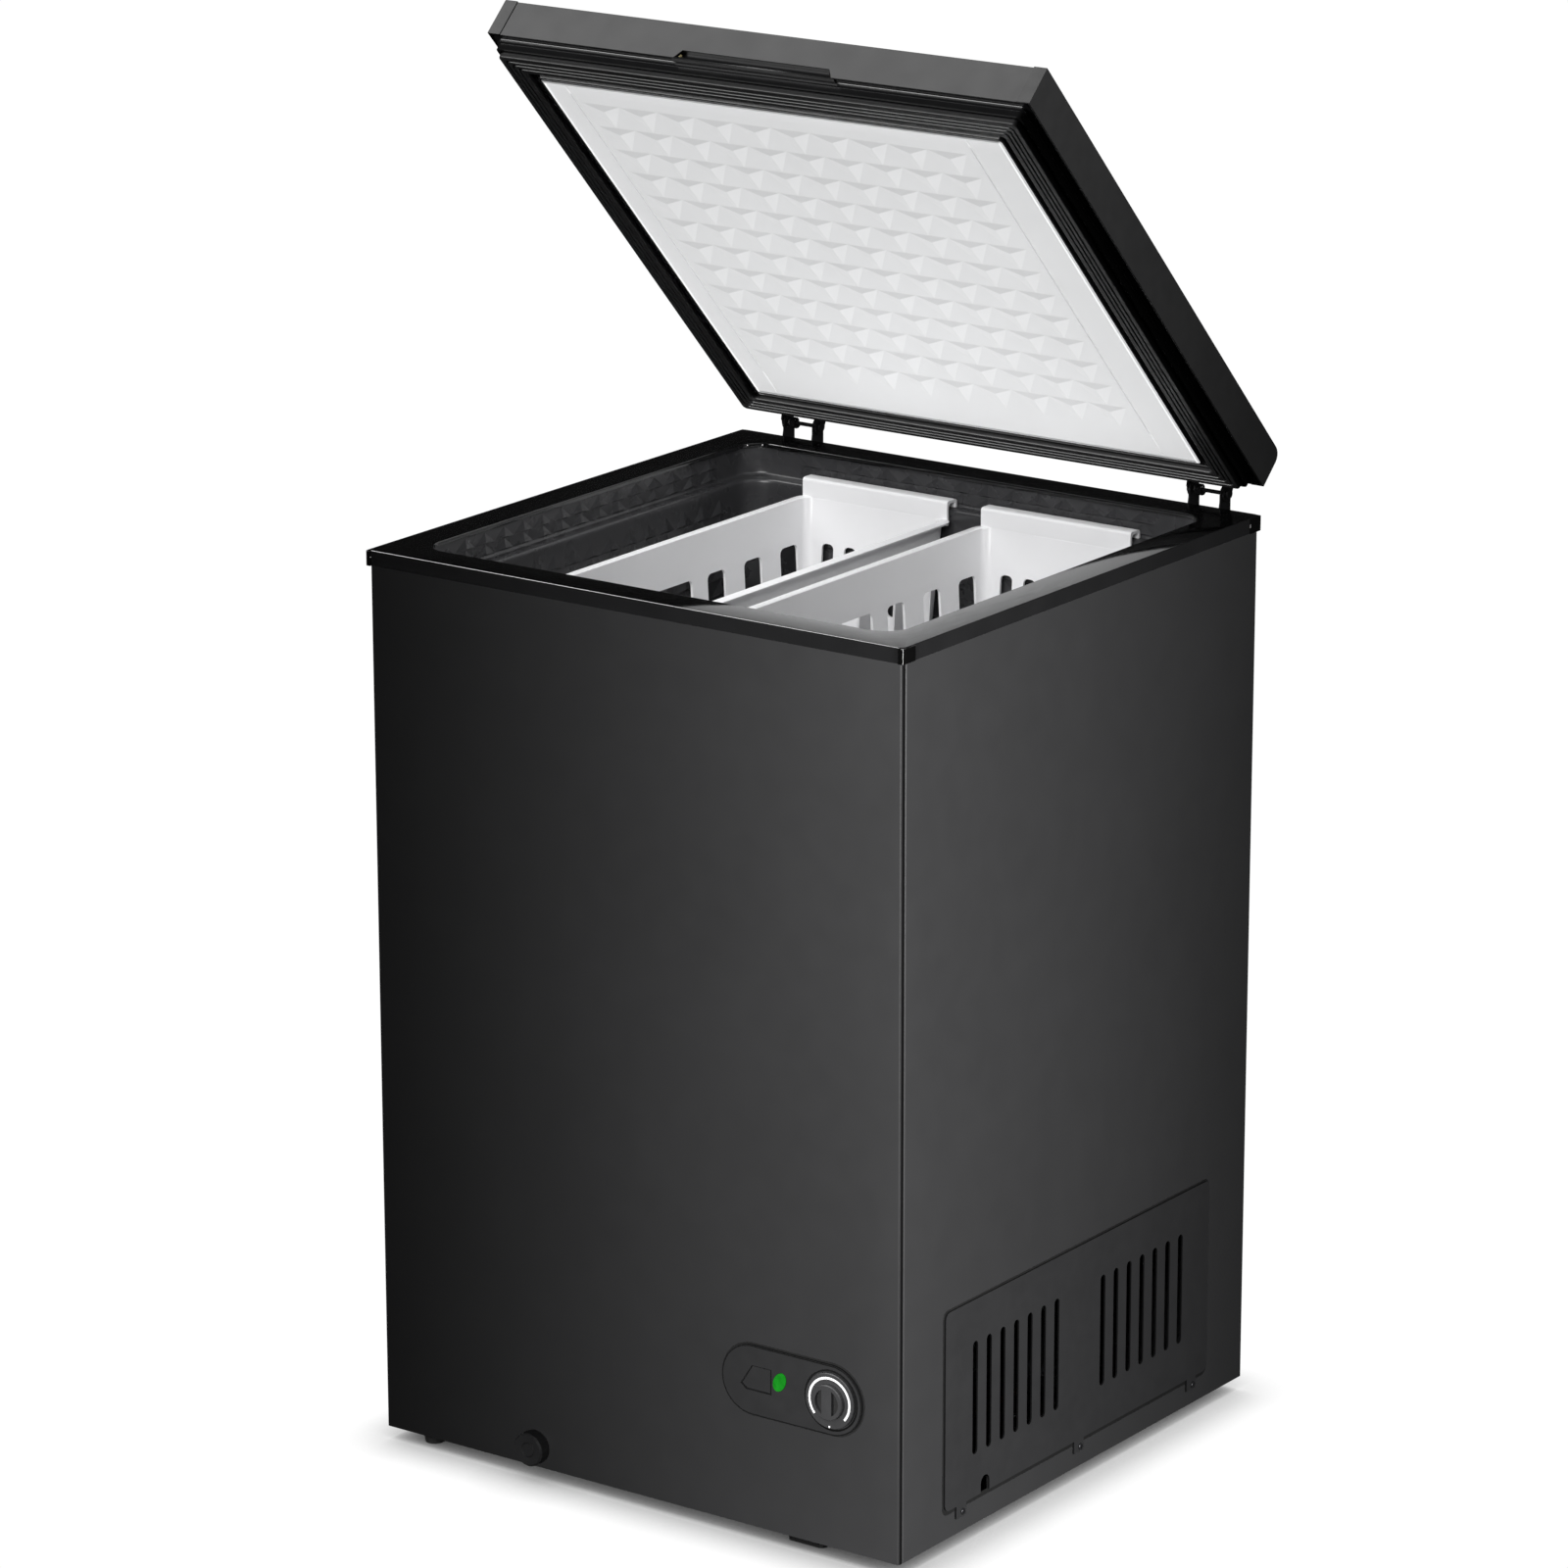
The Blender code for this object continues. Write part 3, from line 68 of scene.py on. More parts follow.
SKIN_LOW, SKIN_HIGH = 0.012, RIM_TOP - 0.0028
RIM_WIDTH = 0.0325
RIM_CORNER, OPENING_CORNER = 0.005, 0.024
LEDGE_Z, LEDGE_WIDTH = RIM_TOP - 0.029, 0.012
LINER_INSET = RIM_WIDTH - 0.0018
LINER_TAPER, LINER_FLOOR = 0.0053, 0.062
STEP_X, STEP_Z = 0.040, 0.275
HINGE_Y, HINGE_Z = HALF_D + 0.0114, RIM_TOP + 0.0102
LID_OPEN = 46.56
LID_LOW = RIM_TOP + 0.0145
LID_HIGH = LID_LOW + 0.0345
LID_FRONT, LID_BACK = -HALF_D, HALF_D - 0.0037
FRAME_DROP = 0.0088
LID_LINER_INSET = 0.0403
PLATE_X, PLATE_Z = 0.1633, 0.1437
KNOB_X = PLATE_X + 0.0403
DRAIN_X, DRAIN_Z = -0.1078, 0.0304
BASKET_X = 0.095
VENT_TAB = 0.0115
ARCH_START_Y, ARCH_END_Y = -0.1468, -0.1352
CUT_REACH = 0.01

LID_TURN = (
    Matrix.Translation((0, HINGE_Y, HINGE_Z))
    @ Matrix.Rotation(-radians(LID_OPEN), 4, "X")
    @ Matrix.Translation((0, -HINGE_Y, -HINGE_Z))
)


# ---- Materials -----------------------------------------------------------------------------------
class Surface:
    """A Principled material whose colour, roughness and bump vary by noise laid over the piece."""

    def __init__(self, name, colour, roughness, metallic=0.0, **sockets):
        self.material = bpy.data.materials.new(name)
        self.material.use_nodes = True
        self.nodes = self.material.node_tree.nodes
        self.links = self.material.node_tree.links
        self.shader = self.nodes["Principled BSDF"]
        self.shader.inputs["Base Color"].default_value = (*colour, 1)
        self.shader.inputs["Roughness"].default_value = roughness
        self.shader.inputs["Metallic"].default_value = metallic
        for socket, value in sockets.items():
            self.shader.inputs[socket.replace("_", " ")].default_value = value
        self.colour, self.roughness = colour, roughness
        self.place = self.nodes.new("ShaderNodeTexCoord").outputs["Object"]
        self.bumped = None

    def noise(self, scale, detail=2.0, stretch=(1, 1, 1)):
        mapping = self.nodes.new("ShaderNodeMapping")
        mapping.inputs["Scale"].default_value = stretch
        self.links.new(self.place, mapping.inputs["Vector"])
        made = self.nodes.new("ShaderNodeTexNoise")
        made.inputs["Scale"].default_value = scale
        made.inputs["Detail"].default_value = detail
        self.links.new(mapping.outputs["Vector"], made.inputs["Vector"])
        return made.outputs["Fac"]

    def ranged(self, source, low, high):
        made = self.nodes.new("ShaderNodeMapRange")
        made.inputs["From Min"].default_value = 0.3
        made.inputs["From Max"].default_value = 0.7
        made.inputs["To Min"].default_value = low
        made.inputs["To Max"].default_value = high
        self.links.new(source, made.inputs["Value"])
        return made.outputs["Result"]

    def mottle(self, scale, amount, detail=3.0, stretch=(1, 1, 1)):
        """The colour moves between a darker and a lighter tone of itself."""
        mix = self.nodes.new("ShaderNodeMix")
        mix.data_type = "RGBA"
        mix.inputs["A"].default_value = (*[c * (1 - amount) for c in self.colour], 1)
        mix.inputs["B"].default_value = (*[min(c * (1 + amount), 1) for c in self.colour], 1)
        self.links.new(self.ranged(self.noise(scale, detail, stretch), 0, 1), mix.inputs["Factor"])
        self.links.new(mix.outputs["Result"], self.shader.inputs["Base Color"])
        return self

    def polish(self, scale, amount, stretch=(1, 1, 1)):
        """The roughness moves a little either side of its own value."""
        low, high = self.roughness - amount, self.roughness + amount
        wave = self.ranged(self.noise(scale, 3.0, stretch), low, high)
        self.links.new(wave, self.shader.inputs["Roughness"])
        return self

    def grain(self, scale, strength, distance=0.0005, detail=2.0, stretch=(1, 1, 1)):
        """A bump on top of any that is there already."""
        bump = self.nodes.new("ShaderNodeBump")
        bump.inputs["Strength"].default_value = strength
        bump.inputs["Distance"].default_value = distance
        self.links.new(self.noise(scale, detail, stretch), bump.inputs["Height"])
        if self.bumped:
            self.links.new(self.bumped, bump.inputs["Normal"])
        self.bumped = bump.outputs["Normal"]
        self.links.new(self.bumped, self.shader.inputs["Normal"])
        return self


PAINT = (
    Surface(
        "satin_black_paint",
        (0.036, 0.036, 0.037),
        0.46,
        Specular_IOR_Level=0.35,
        Coat_Weight=0.4,
        Coat_Roughness=0.22,
    )
    .mottle(9, 0.035)
    .polish(40, 0.03)
    .grain(900, 0.12, 0.00012)
    .grain(3, 0.05, 0.002)
    .material
)
LID_PAINT = (
    Surface("lid_black_paint", (0.036, 0.036, 0.037), 0.40, Specular_IOR_Level=0.5)
    .mottle(9, 0.035)
    .polish(40, 0.03)
    .grain(900, 0.12, 0.00012)
    .material
)
GLOSS = (
    Surface("gloss_black_plastic", (0.015, 0.015, 0.0155), 0.07, Specular_IOR_Level=0.62)
    .mottle(30, 0.08)
    .polish(60, 0.012)
    .grain(60, 0.02, 0.0003)
    .material
)
CLIP = (
    Surface("corner_clip_plastic", (0.003, 0.003, 0.003), 0.10, Specular_IOR_Level=0.5)
    .mottle(60, 0.1)
    .polish(60, 0.015)
    .grain(60, 0.02, 0.0003)
    .material
)
CAP_PLASTIC = (
    Surface("lid_cap_plastic", (0.019, 0.019, 0.0193), 0.40)
    .mottle(25, 0.05)
    .polish(80, 0.03)
    .grain(2600, 0.16, 0.00008)
    .material
)
PLASTIC = (
    Surface("black_moulded_plastic", (0.028, 0.028, 0.029), 0.42)
    .mottle(25, 0.05)
    .polish(80, 0.03)
    .grain(2600, 0.22, 0.0001)
    .material
)
TRIM = (
    Surface("lid_frame_plastic", (0.009, 0.009, 0.0095), 0.24)
    .mottle(25, 0.08)
    .polish(80, 0.03)
    .grain(2200, 0.12, 0.00008)
    .material
)
GASKET = (
    Surface("gasket_vinyl", (0.023, 0.023, 0.0235), 0.34)
    .mottle(35, 0.1)
    .polish(120, 0.05)
    .grain(1500, 0.04, 0.0001)
    .material
)
DARK_LINER = (
    Surface("dark_liner_plastic", (0.034, 0.034, 0.036), 0.28)
    .mottle(14, 0.06)
    .polish(50, 0.03)
    .grain(1300, 0.06, 0.0001)
    .material
)
WHITE_LINER = (
    Surface("white_liner_plastic", (0.80, 0.805, 0.81), 0.42)
    .mottle(12, 0.012)
    .polish(50, 0.03)
    .grain(1300, 0.05, 0.0001)
    .material
)
WHITE_PLASTIC = (
    Surface("white_basket_plastic", (0.83, 0.83, 0.84), 0.38)
    .mottle(16, 0.012)
    .polish(60, 0.03)
    .grain(1600, 0.08, 0.0001)
    .material
)
FOAM = (
    Surface("insulation_foam", (0.78, 0.66, 0.34), 0.92)
    .mottle(60, 0.12)
    .grain(420, 0.8, 0.0012, 6.0)
    .material
)
RUBBER = (
    Surface("black_rubber", (0.018, 0.018, 0.018), 0.72)
    .mottle(50, 0.15)
    .grain(900, 0.3, 0.0002)
    .material
)
ZINC = (
    Surface("zinc_plated_steel", (0.56, 0.57, 0.59), 0.36, 1.0)
    .mottle(110, 0.12, 4.0)
    .polish(160, 0.09)
    .grain(500, 0.08, 0.0002)
    .material
)
ENAMEL = (
    Surface("black_enamelled_steel", (0.013, 0.013, 0.014), 0.3)
    .mottle(40, 0.12)
    .polish(80, 0.05)
    .grain(500, 0.12, 0.0002)
    .material
)
COPPER = (
    Surface("drawn_copper", (0.74, 0.36, 0.20), 0.3, 1.0)
    .mottle(50, 0.16, 5.0)
    .polish(90, 0.1)
    .grain(700, 0.06, 0.0001)
    .material
)
LENS = (
    Surface(
        "green_lens",
        (0.006, 0.13, 0.008),
        0.16,
        Emission_Color=(0.005, 0.24, 0.010, 1),
        Emission_Strength=0.14,
    )
    .mottle(160, 0.25)
    .polish(200, 0.03)
    .grain(900, 0.1, 0.0001)
    .material
)
SCREW = (
    Surface("blackened_screw_steel", (0.035, 0.035, 0.038), 0.32, 0.6)
    .mottle(400, 0.2)
    .polish(500, 0.06)
    .grain(2500, 0.1, 0.0001)
    .material
)
PRINT = (
    Surface("white_print", (0.80, 0.80, 0.80), 0.5)
    .mottle(300, 0.05)
    .grain(3000, 0.1, 0.00005)
    .material
)
# Painted shade: near-black laid as sheets and strips in gaps, grooves and hollows where shade falls.
SHADOW_GAP = (
    Surface("painted_shade_black", (0.004, 0.004, 0.004), 0.6)
    .mottle(60, 0.2)
    .grain(1500, 0.1, 0.0001)
    .material
)
BY_SLOT = {
    "black_sheet": PAINT,
    "gloss_black": GLOSS,
    "black_plastic": PLASTIC,
    "dark_liner": DARK_LINER,
    "white_liner": WHITE_LINER,
    "white_plastic": WHITE_PLASTIC,
    "foam": FOAM,
    "rubber": RUBBER,
    "zinc_steel": ZINC,
    "black_enamel": ENAMEL,
    "copper": COPPER,
    "green_lens": LENS,
}


# ---- Mesh tools ----------------------------------------------------------------------------------
def from_bmesh(bm, crease=None):
    bmesh.ops.recalc_face_normals(bm, faces=bm.faces)
    if crease:
        mark_creases(bm, crease)
    mesh = bpy.data.meshes.new("drawn")
    bm.to_mesh(mesh)
    bm.free()
    return mesh


def mark_creases(bm, angle):
    """Sharp edges where the faces turn by more than the angle, on top of those marked already."""
    for edge in bm.edges:
        if len(edge.link_faces) == 2 and edge.calc_face_angle() > radians(angle):
            edge.smooth = False


def add(name, mesh, surface, body="cabinet", replaces=(), turn=False, smooth=35):
    """A piece from a mesh drawn in the cabinet's place, riding on a body of the frame."""
    if turn:
        mesh.transform(LID_TURN)
    mesh.transform(Matrix.Translation(SHIFT))
    mesh.name = name
    if smooth:
        mesh.shade_smooth()
        mesh.set_sharp_from_angle(angle=radians(smooth))
    mesh.materials.append(surface)
    made_piece = bpy.data.objects.new(name, mesh)
    bpy.context.scene.collection.objects.link(made_piece)
    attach(made_piece, body)
    if replaces:
        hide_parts(*replaces)
    return made_piece


def bevel(piece, width, segments=2, angle=40):
    modifier = piece.modifiers.new("bevel", "BEVEL")
    modifier.width = width
    modifier.segments = segments
    modifier.limit_method = "ANGLE"
    modifier.angle_limit = radians(angle)
    modifier.harden_normals = False
    return piece


def carve(mesh, *cutters, operation="DIFFERENCE"):
    """The mesh with the cutters taken away, as a new mesh. All of them are drawn in the same place."""
    base = bpy.data.objects.new("base", mesh)
    bpy.context.scene.collection.objects.link(base)
    tools = []
    for cutter in cutters:
        tool = bpy.data.objects.new("tool", cutter)
        bpy.context.scene.collection.objects.link(tool)
        modifier = base.modifiers.new("cut", "BOOLEAN")
        modifier.operation = operation
        modifier.solver = "EXACT"
        modifier.object = tool
        tools.append(tool)
    bpy.context.view_layer.update()
    graph = bpy.context.evaluated_depsgraph_get()
    result = bpy.data.meshes.new_from_object(base.evaluated_get(graph))
    for unused in [base, *tools]:
        bpy.data.objects.remove(unused)
    return result


def arc(centre, radius, start, end, steps):
    angles = [radians(start + (end - start) * i / steps) for i in range(steps + 1)]
    return [(centre[0] + radius * cos(a), centre[1] + radius * sin(a)) for a in angles]


def rounded_rectangle(low, high, radius, steps=8):
    points = []
    for side_u, side_v, start in ((1, 1, 0), (-1, 1, 90), (-1, -1, 180), (1, -1, 270)):
        centre_u = high[0] - radius if side_u > 0 else low[0] + radius
        centre_v = high[1] - radius if side_v > 0 else low[1] + radius
        points += arc((centre_u, centre_v), radius, start, start + 90, steps)
    return points


PLANES = {"X": (1, 2, 0), "Y": (0, 2, 1), "Z": (0, 1, 2)}


def axis_point(axis, across, up, along):
    """A point from its two places in the plane across the axis and its place along it."""
    point = [0.0, 0.0, 0.0]
    for index, value in zip(PLANES[axis], (across, up, along)):
        point[index] = value
    return point


def prisms(outlines, axis, start, end):
    """Each closed outline drawn out along the axis, all in one mesh."""
    bm = bmesh.new()
    for outline in outlines:
        first = [bm.verts.new(axis_point(axis, u, v, start)) for u, v in outline]
        last = [bm.verts.new(axis_point(axis, u, v, end)) for u, v in outline]
        bm.faces.new(first)
        bm.faces.new(last)
        for i in range(len(outline)):
            j = (i + 1) % len(outline)
            bm.faces.new((first[i], first[j], last[j], last[i]))
    return from_bmesh(bm)


def boxes(*bounds):
    """A box for each (low corner, high corner), all in one mesh."""
    bm = bmesh.new()
    for low, high in bounds:
        for vert in bmesh.ops.create_cube(bm, size=1)["verts"]:
            vert.co = [lo + (c + 0.5) * (hi - lo) for c, lo, hi in zip(vert.co, low, high)]
    return from_bmesh(bm)


def swept(loops, closed=True):
    """Quads between loops of equal count; a closed ring of loops, or a stack with capped ends."""
    bm = bmesh.new()
    rows = [[bm.verts.new(point) for point in points] for points in loops]
    pairs = list(zip(rows, rows[1:]))
    if closed:
        pairs.append((rows[-1], rows[0]))
    else:
        bm.faces.new(rows[0])
        bm.faces.new(rows[-1])
    for low, high in pairs:
        for i in range(len(low)):
            j = (i + 1) % len(low)
            bm.faces.new((low[i], low[j], high[j], high[i]))
    return from_bmesh(bm)


def turned(profile, axis, centre, sides):
    """A solid turned about a line along the axis; the profile is (radius, place along the axis)."""
    bm = bmesh.new()
    rows = []
    for radius, along in profile:
        if radius == 0:
            rows.append([bm.verts.new(axis_point(axis, *centre, along))])
        else:
            points = arc(centre, radius, 0, 360 - 360 / sides, sides - 1)
            rows.append([bm.verts.new(axis_point(axis, u, v, along)) for u, v in points])
    pairs = list(zip(rows, rows[1:]))
    if len(rows[0]) > 1:
        pairs.append((rows[-1], rows[0]))
    for low, high in pairs:
        for i in range(sides):
            j = (i + 1) % sides
            if len(low) == 1:
                bm.faces.new((low[0], high[j], high[i]))
            elif len(high) == 1:
                bm.faces.new((low[i], low[j], high[0]))
            else:
                bm.faces.new((low[i], low[j], high[j], high[i]))
    return from_bmesh(bm)


def plan_loop(inset, radius, z, half=(HALF_W, HALF_D), middle_y=0.0, steps=8):
    low = (-half[0] + inset, middle_y - half[1] + inset)
    high = (half[0] - inset, middle_y + half[1] - inset)
    return [(u, v, z) for u, v in rounded_rectangle(low, high, radius, steps)]


def lid_loop(inset, z, radius=0.004):
    return plan_loop(inset, radius, z, (HALF_W, (LID_BACK - LID_FRONT) / 2), (LID_FRONT + LID_BACK) / 2)


# ---- Cabinet shell -------------------------------------------------------------------------------
def front_skin():
    """Folded sheet: the face, a rolled fold at each side edge and a short return behind the fold."""
    fold, sheet, back = 0.0020, 0.0009, -SKIN_Y + 0.0042
    outer = [(-SKIN_X, back), *arc((-SKIN_X + fold, -SKIN_Y + fold), fold, 180, 270, 6)]
    outer += [*arc((SKIN_X - fold, -SKIN_Y + fold), fold, 270, 360, 6), (SKIN_X, back)]
    inner = [(SKIN_X - sheet, back), *arc((SKIN_X - fold, -SKIN_Y + fold), fold - sheet, 360, 270, 6)]
    inner += [*arc((-SKIN_X + fold, -SKIN_Y + fold), fold - sheet, 270, 180, 6), (-SKIN_X + sheet, back)]
    mesh = prisms([outer + inner], "Z", SKIN_LOW, SKIN_HIGH)
    near, far = -SKIN_Y - CUT_REACH, -SKIN_Y + CUT_REACH
    hole = prisms([arc((DRAIN_X, DRAIN_Z), 0.009, 0, 345, 23)], "Y", near, far)
    window = boxes(
        ((PLATE_X - 0.052, near, PLATE_Z - 0.021), (PLATE_X + 0.060, far, PLATE_Z + 0.021))
    )
    add("front_skin", carve(mesh, hole, window), PAINT, replaces=["front_panel"])


def side_skins():
    """Side sheets whose front edges are rolled in beside the front skin's return."""
    roll, sheet, start = 0.0018, 0.0009, -SKIN_Y + 0.0052
    flange = SKIN_X - 0.0045
    vent_low, vent_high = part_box("vent_cover")
    for side, sign in (("left", -1), ("right", 1)):
        outer = [(SKIN_X, SKIN_Y)]
        outer += arc((SKIN_X - roll, start + roll), roll, 0, -90, 5)
        outer += [(flange, start), (flange, start + sheet), (SKIN_X - roll, start + sheet)]
        outer += arc((SKIN_X - roll, start + roll), roll - sheet, -90, 0, 5) + [(SKIN_X - sheet, SKIN_Y)]
        outline = [(sign * u, v) for u, v in dict.fromkeys(outer)]
        mesh = prisms([outline], "Z", SKIN_LOW, SKIN_HIGH)
        if sign > 0:
            edge = 0.010
            low = (0.2, vent_low.y - SHIFT.y + edge, vent_low.z + VENT_TAB + edge)
            high = (0.4, vent_high.y - SHIFT.y - edge, vent_high.z - edge)
            arch = ((0.2, ARCH_START_Y, 0.036), (0.4, ARCH_END_Y, 0.0520))
            mesh = carve(mesh, boxes((low, high)), boxes(arch))
        add(f"{side}_side_skin", mesh, PAINT, replaces=[f"{side}_side_panel"])


def top_collar():
    """The rim with its edges eased, and a lip turned down into the opening."""
    outer, inner, lip, plate = 0.0010, 0.0014, 0.0015, 0.0025
    section = [(0, RIM_BASE + 0.0004), (0, RIM_TOP - outer)]
    for a in (0.4, 0.8, 1.2, pi / 2):
        section.append((outer - outer * cos(a), RIM_TOP - outer + outer * sin(a)))
    for a in (pi / 2, 1.2, 0.8, 0.4, 0):
        section.append((RIM_WIDTH - inner + inner * cos(a), RIM_TOP - inner + inner * sin(a)))
    lip_foot = RIM_TOP - 0.004
    section += [(RIM_WIDTH, lip_foot), (RIM_WIDTH - lip, lip_foot), (RIM_WIDTH - lip, RIM_TOP - plate)]
    section += [(0.0017, RIM_TOP - plate), (0.0017, RIM_BASE), (0.0004, RIM_BASE)]
    loops = []
    for inset, z in section:
        radius = RIM_CORNER - min(inset, 0.0012) if inset < 0.0015 else OPENING_CORNER
        if inset == 0.0017:
            radius = 0.0008
        loops.append(plan_loop(inset, radius, z))
    add("top_collar", swept(loops), GLOSS, replaces=["top_rim"])


def corner_covers():
    """Clips over the collar's corners: short on the front and rear, longer on the sides."""
    proud, sharp, along_side, along_front = 0.0007, 0.0012, 0.0170, 0.0046
    for end, sign_y in (("front", -1), ("rear", 1)):
        for side, sign_x in (("left", -1), ("right", 1)):
            x, y = HALF_W + proud, HALF_D + proud
            outline = [(HALF_W - along_front, y), (x - sharp, y)]
            outline += arc((x - sharp, y - sharp), sharp, 90, 0, 5)[1:]
            outline += [(x, HALF_D - along_side), (HALF_W + 0.00002, HALF_D - along_side)]
            outline += arc((HALF_W - RIM_CORNER, HALF_D - RIM_CORNER), RIM_CORNER + 0.00002, 0, 78, 6)
            outline = [(sign_x * u, sign_y * v) for u, v in outline]
            mesh = prisms([outline], "Z", RIM_BASE - 0.0002, RIM_TOP - 0.0006)
            bevel(add(f"corner_cover_{end}_{side}", mesh, CLIP), 0.0002, 1)


# ---- Embossed sheets -----------------------------------------------------------------------------
def embossed(bm, grid, cells, peak):
    """Faces over a grid of verts. Each cell of two columns is a raised triangle between flat ones.

    grid[row][column] is a vert or None. cells holds the (row, column) of each embossed cell, whose
    triangle stands on its row and points at the next. peak(row, column) gives its raised corner.
    """
    used = set()
    for row, column in sorted(cells):
        a, m, b = (grid[row][column + i] for i in range(3))
        d, c, e = (grid[row + 1][column + i] for i in range(3))
        p = bm.verts.new(peak(row, column))
        faces = [(a, m, p), (m, b, p), (a, p, c), (p, b, c), (a, c, d), (b, e, c)]
        for corners in faces:
            for edge in bm.faces.new(corners).edges:
                edge.smooth = False
        used |= {(row, column), (row, column + 1)}
    for row in range(len(grid) - 1):
        for column in range(len(grid[0]) - 1):
            here, above = grid[row], grid[row + 1]
            corners = [here[column], here[column + 1], above[column + 1], above[column]]
            if (row, column) not in used and None not in corners and len(set(corners)) > 2:
                bm.faces.new(corners)
    for face in bm.faces:
        face.smooth = True


def lid_liner():
    """Sheet with a raised edge, a groove along each side and rows of shallow triangles."""
    low_x, high_x = -HALF_W + LID_LINER_INSET, HALF_W - LID_LINER_INSET
    low_y, high_y = LID_FRONT + LID_LINER_INSET, LID_BACK - LID_LINER_INSET
    face = LID_LOW - FRAME_DROP - 0.0034
    pitch_x, pitch_y = 0.039, 0.032
    count_x, count_y = 10, 12
    start_x, start_y = low_x + 0.030, low_y + 0.026
    edge = [0, 0.0005, 0.0012, 0.0026, 0.0036, 0.0050]

    def lines(low, high, grooves, start, pitch, count):
        found = {low + e for e in edge} | {high - e for e in edge}
        found |= {start + pitch * i for i in range(count + 1)}
        for groove in grooves:
            found |= {groove - 0.0009, groove, groove + 0.0009}
        return sorted(found)

    grooves = (start_x - 0.0060, start_x + pitch_x * count_x + 0.0085)
    xs = lines(low_x, high_x, grooves, start_x, pitch_x / 2, count_x * 2)
    ys = lines(low_y, high_y, (), start_y, pitch_y, count_y)
    ys = sorted(set(ys) | {start_y - 0.010, start_y + pitch_y * count_y + 0.004})

    def rise(x, y):
        """How far the sheet stands out of its plane, towards the food."""
        depth = min(x - low_x, high_x - x, y - low_y, high_y - y)
        if depth < 0.0045:
            return (-0.0006, 0.0003, 0.0009, 0.0009, 0.0002)[min(int(depth / 0.00088), 4)]
        on_groove = any(abs(x - groove) < 1e-6 for groove in grooves)
        inside = start_y - 0.0101 <= y <= start_y + pitch_y * count_y + 0.0041
        return -0.0016 if on_groove and inside else 0

    bm = bmesh.new()
    grid = [[bm.verts.new((x, y, face - rise(x, y))) for x in xs] for y in ys]
    first_x = min(range(len(xs)), key=lambda i: abs(xs[i] - start_x))
    first_y = min(range(len(ys)), key=lambda i: abs(ys[i] - start_y))
    cells = {(first_y + j, first_x + 2 * i) for j in range(count_y) for i in range(count_x)}

    def peak(row, column):
        return xs[column + 1], ys[row] + 0.0080, face - 0.0014

    embossed(bm, grid, cells, peak)
    rim = [v for v in grid[0]] + [r[-1] for r in grid[1:]]
    rim += [v for v in reversed(grid[-1][:-1])] + [r[0] for r in reversed(grid[1:-1])]
    back = [bm.verts.new((v.co.x, v.co.y, face + 0.0023)) for v in rim]
    for i in range(len(rim)):
        j = (i + 1) % len(rim)
        bm.faces.new((rim[i], rim[j], back[j], back[i]))
    bm.faces.new(back)
    mesh = from_bmesh(bm, 12)
    add("embossed_lid_liner", mesh, WHITE_LINER, "lid", ["lid_liner"], True, 0)


def liner_inset(z):
    return LINER_INSET + LEDGE_WIDTH + LINER_TAPER * (LEDGE_Z - z) / (LEDGE_Z - LINER_FLOOR)


TUB_HALF_PITCH = STEP_X / 3
TUB_STEPS = 14
TUB_CORNER = OPENING_CORNER + 0.002
TUB_CORNER_STEPS = 8
TUB_PLAIN_Z = 0.7575
LOW_ROWS, HIGH_ROWS = 14, 33


def tub_columns(inset):
    """(x, y, out_x, out_y) of each column round the tub, from the step's place on the front wall."""
    x_wall, y_wall = HALF_W - inset, HALF_D - inset
    marks = [TUB_HALF_PITCH * i for i in range(-TUB_STEPS, TUB_STEPS + 1)]
    columns = []
    for side, (out_x, out_y) in enumerate(((0, -1), (1, 0), (0, 1), (-1, 0))):
        for mark in marks:
            if side == 0:
                columns.append((mark, -y_wall, out_x, out_y))
            elif side == 1:
                columns.append((x_wall, mark, out_x, out_y))
            elif side == 2:
                columns.append((-mark, y_wall, out_x, out_y))
            else:
                columns.append((-x_wall, -mark, out_x, out_y))
        corner_x = (x_wall - TUB_CORNER) * (1 if side in (0, 1) else -1)
        corner_y = (y_wall - TUB_CORNER) * (1 if side in (1, 2) else -1)
        start = -90 + 90 * side
        for i in range(TUB_CORNER_STEPS + 1):
            a = radians(start + 90 * i / TUB_CORNER_STEPS)
            x, y = corner_x + TUB_CORNER * cos(a), corner_y + TUB_CORNER * sin(a)
            columns.append((x, y, cos(a), sin(a)))
    return columns


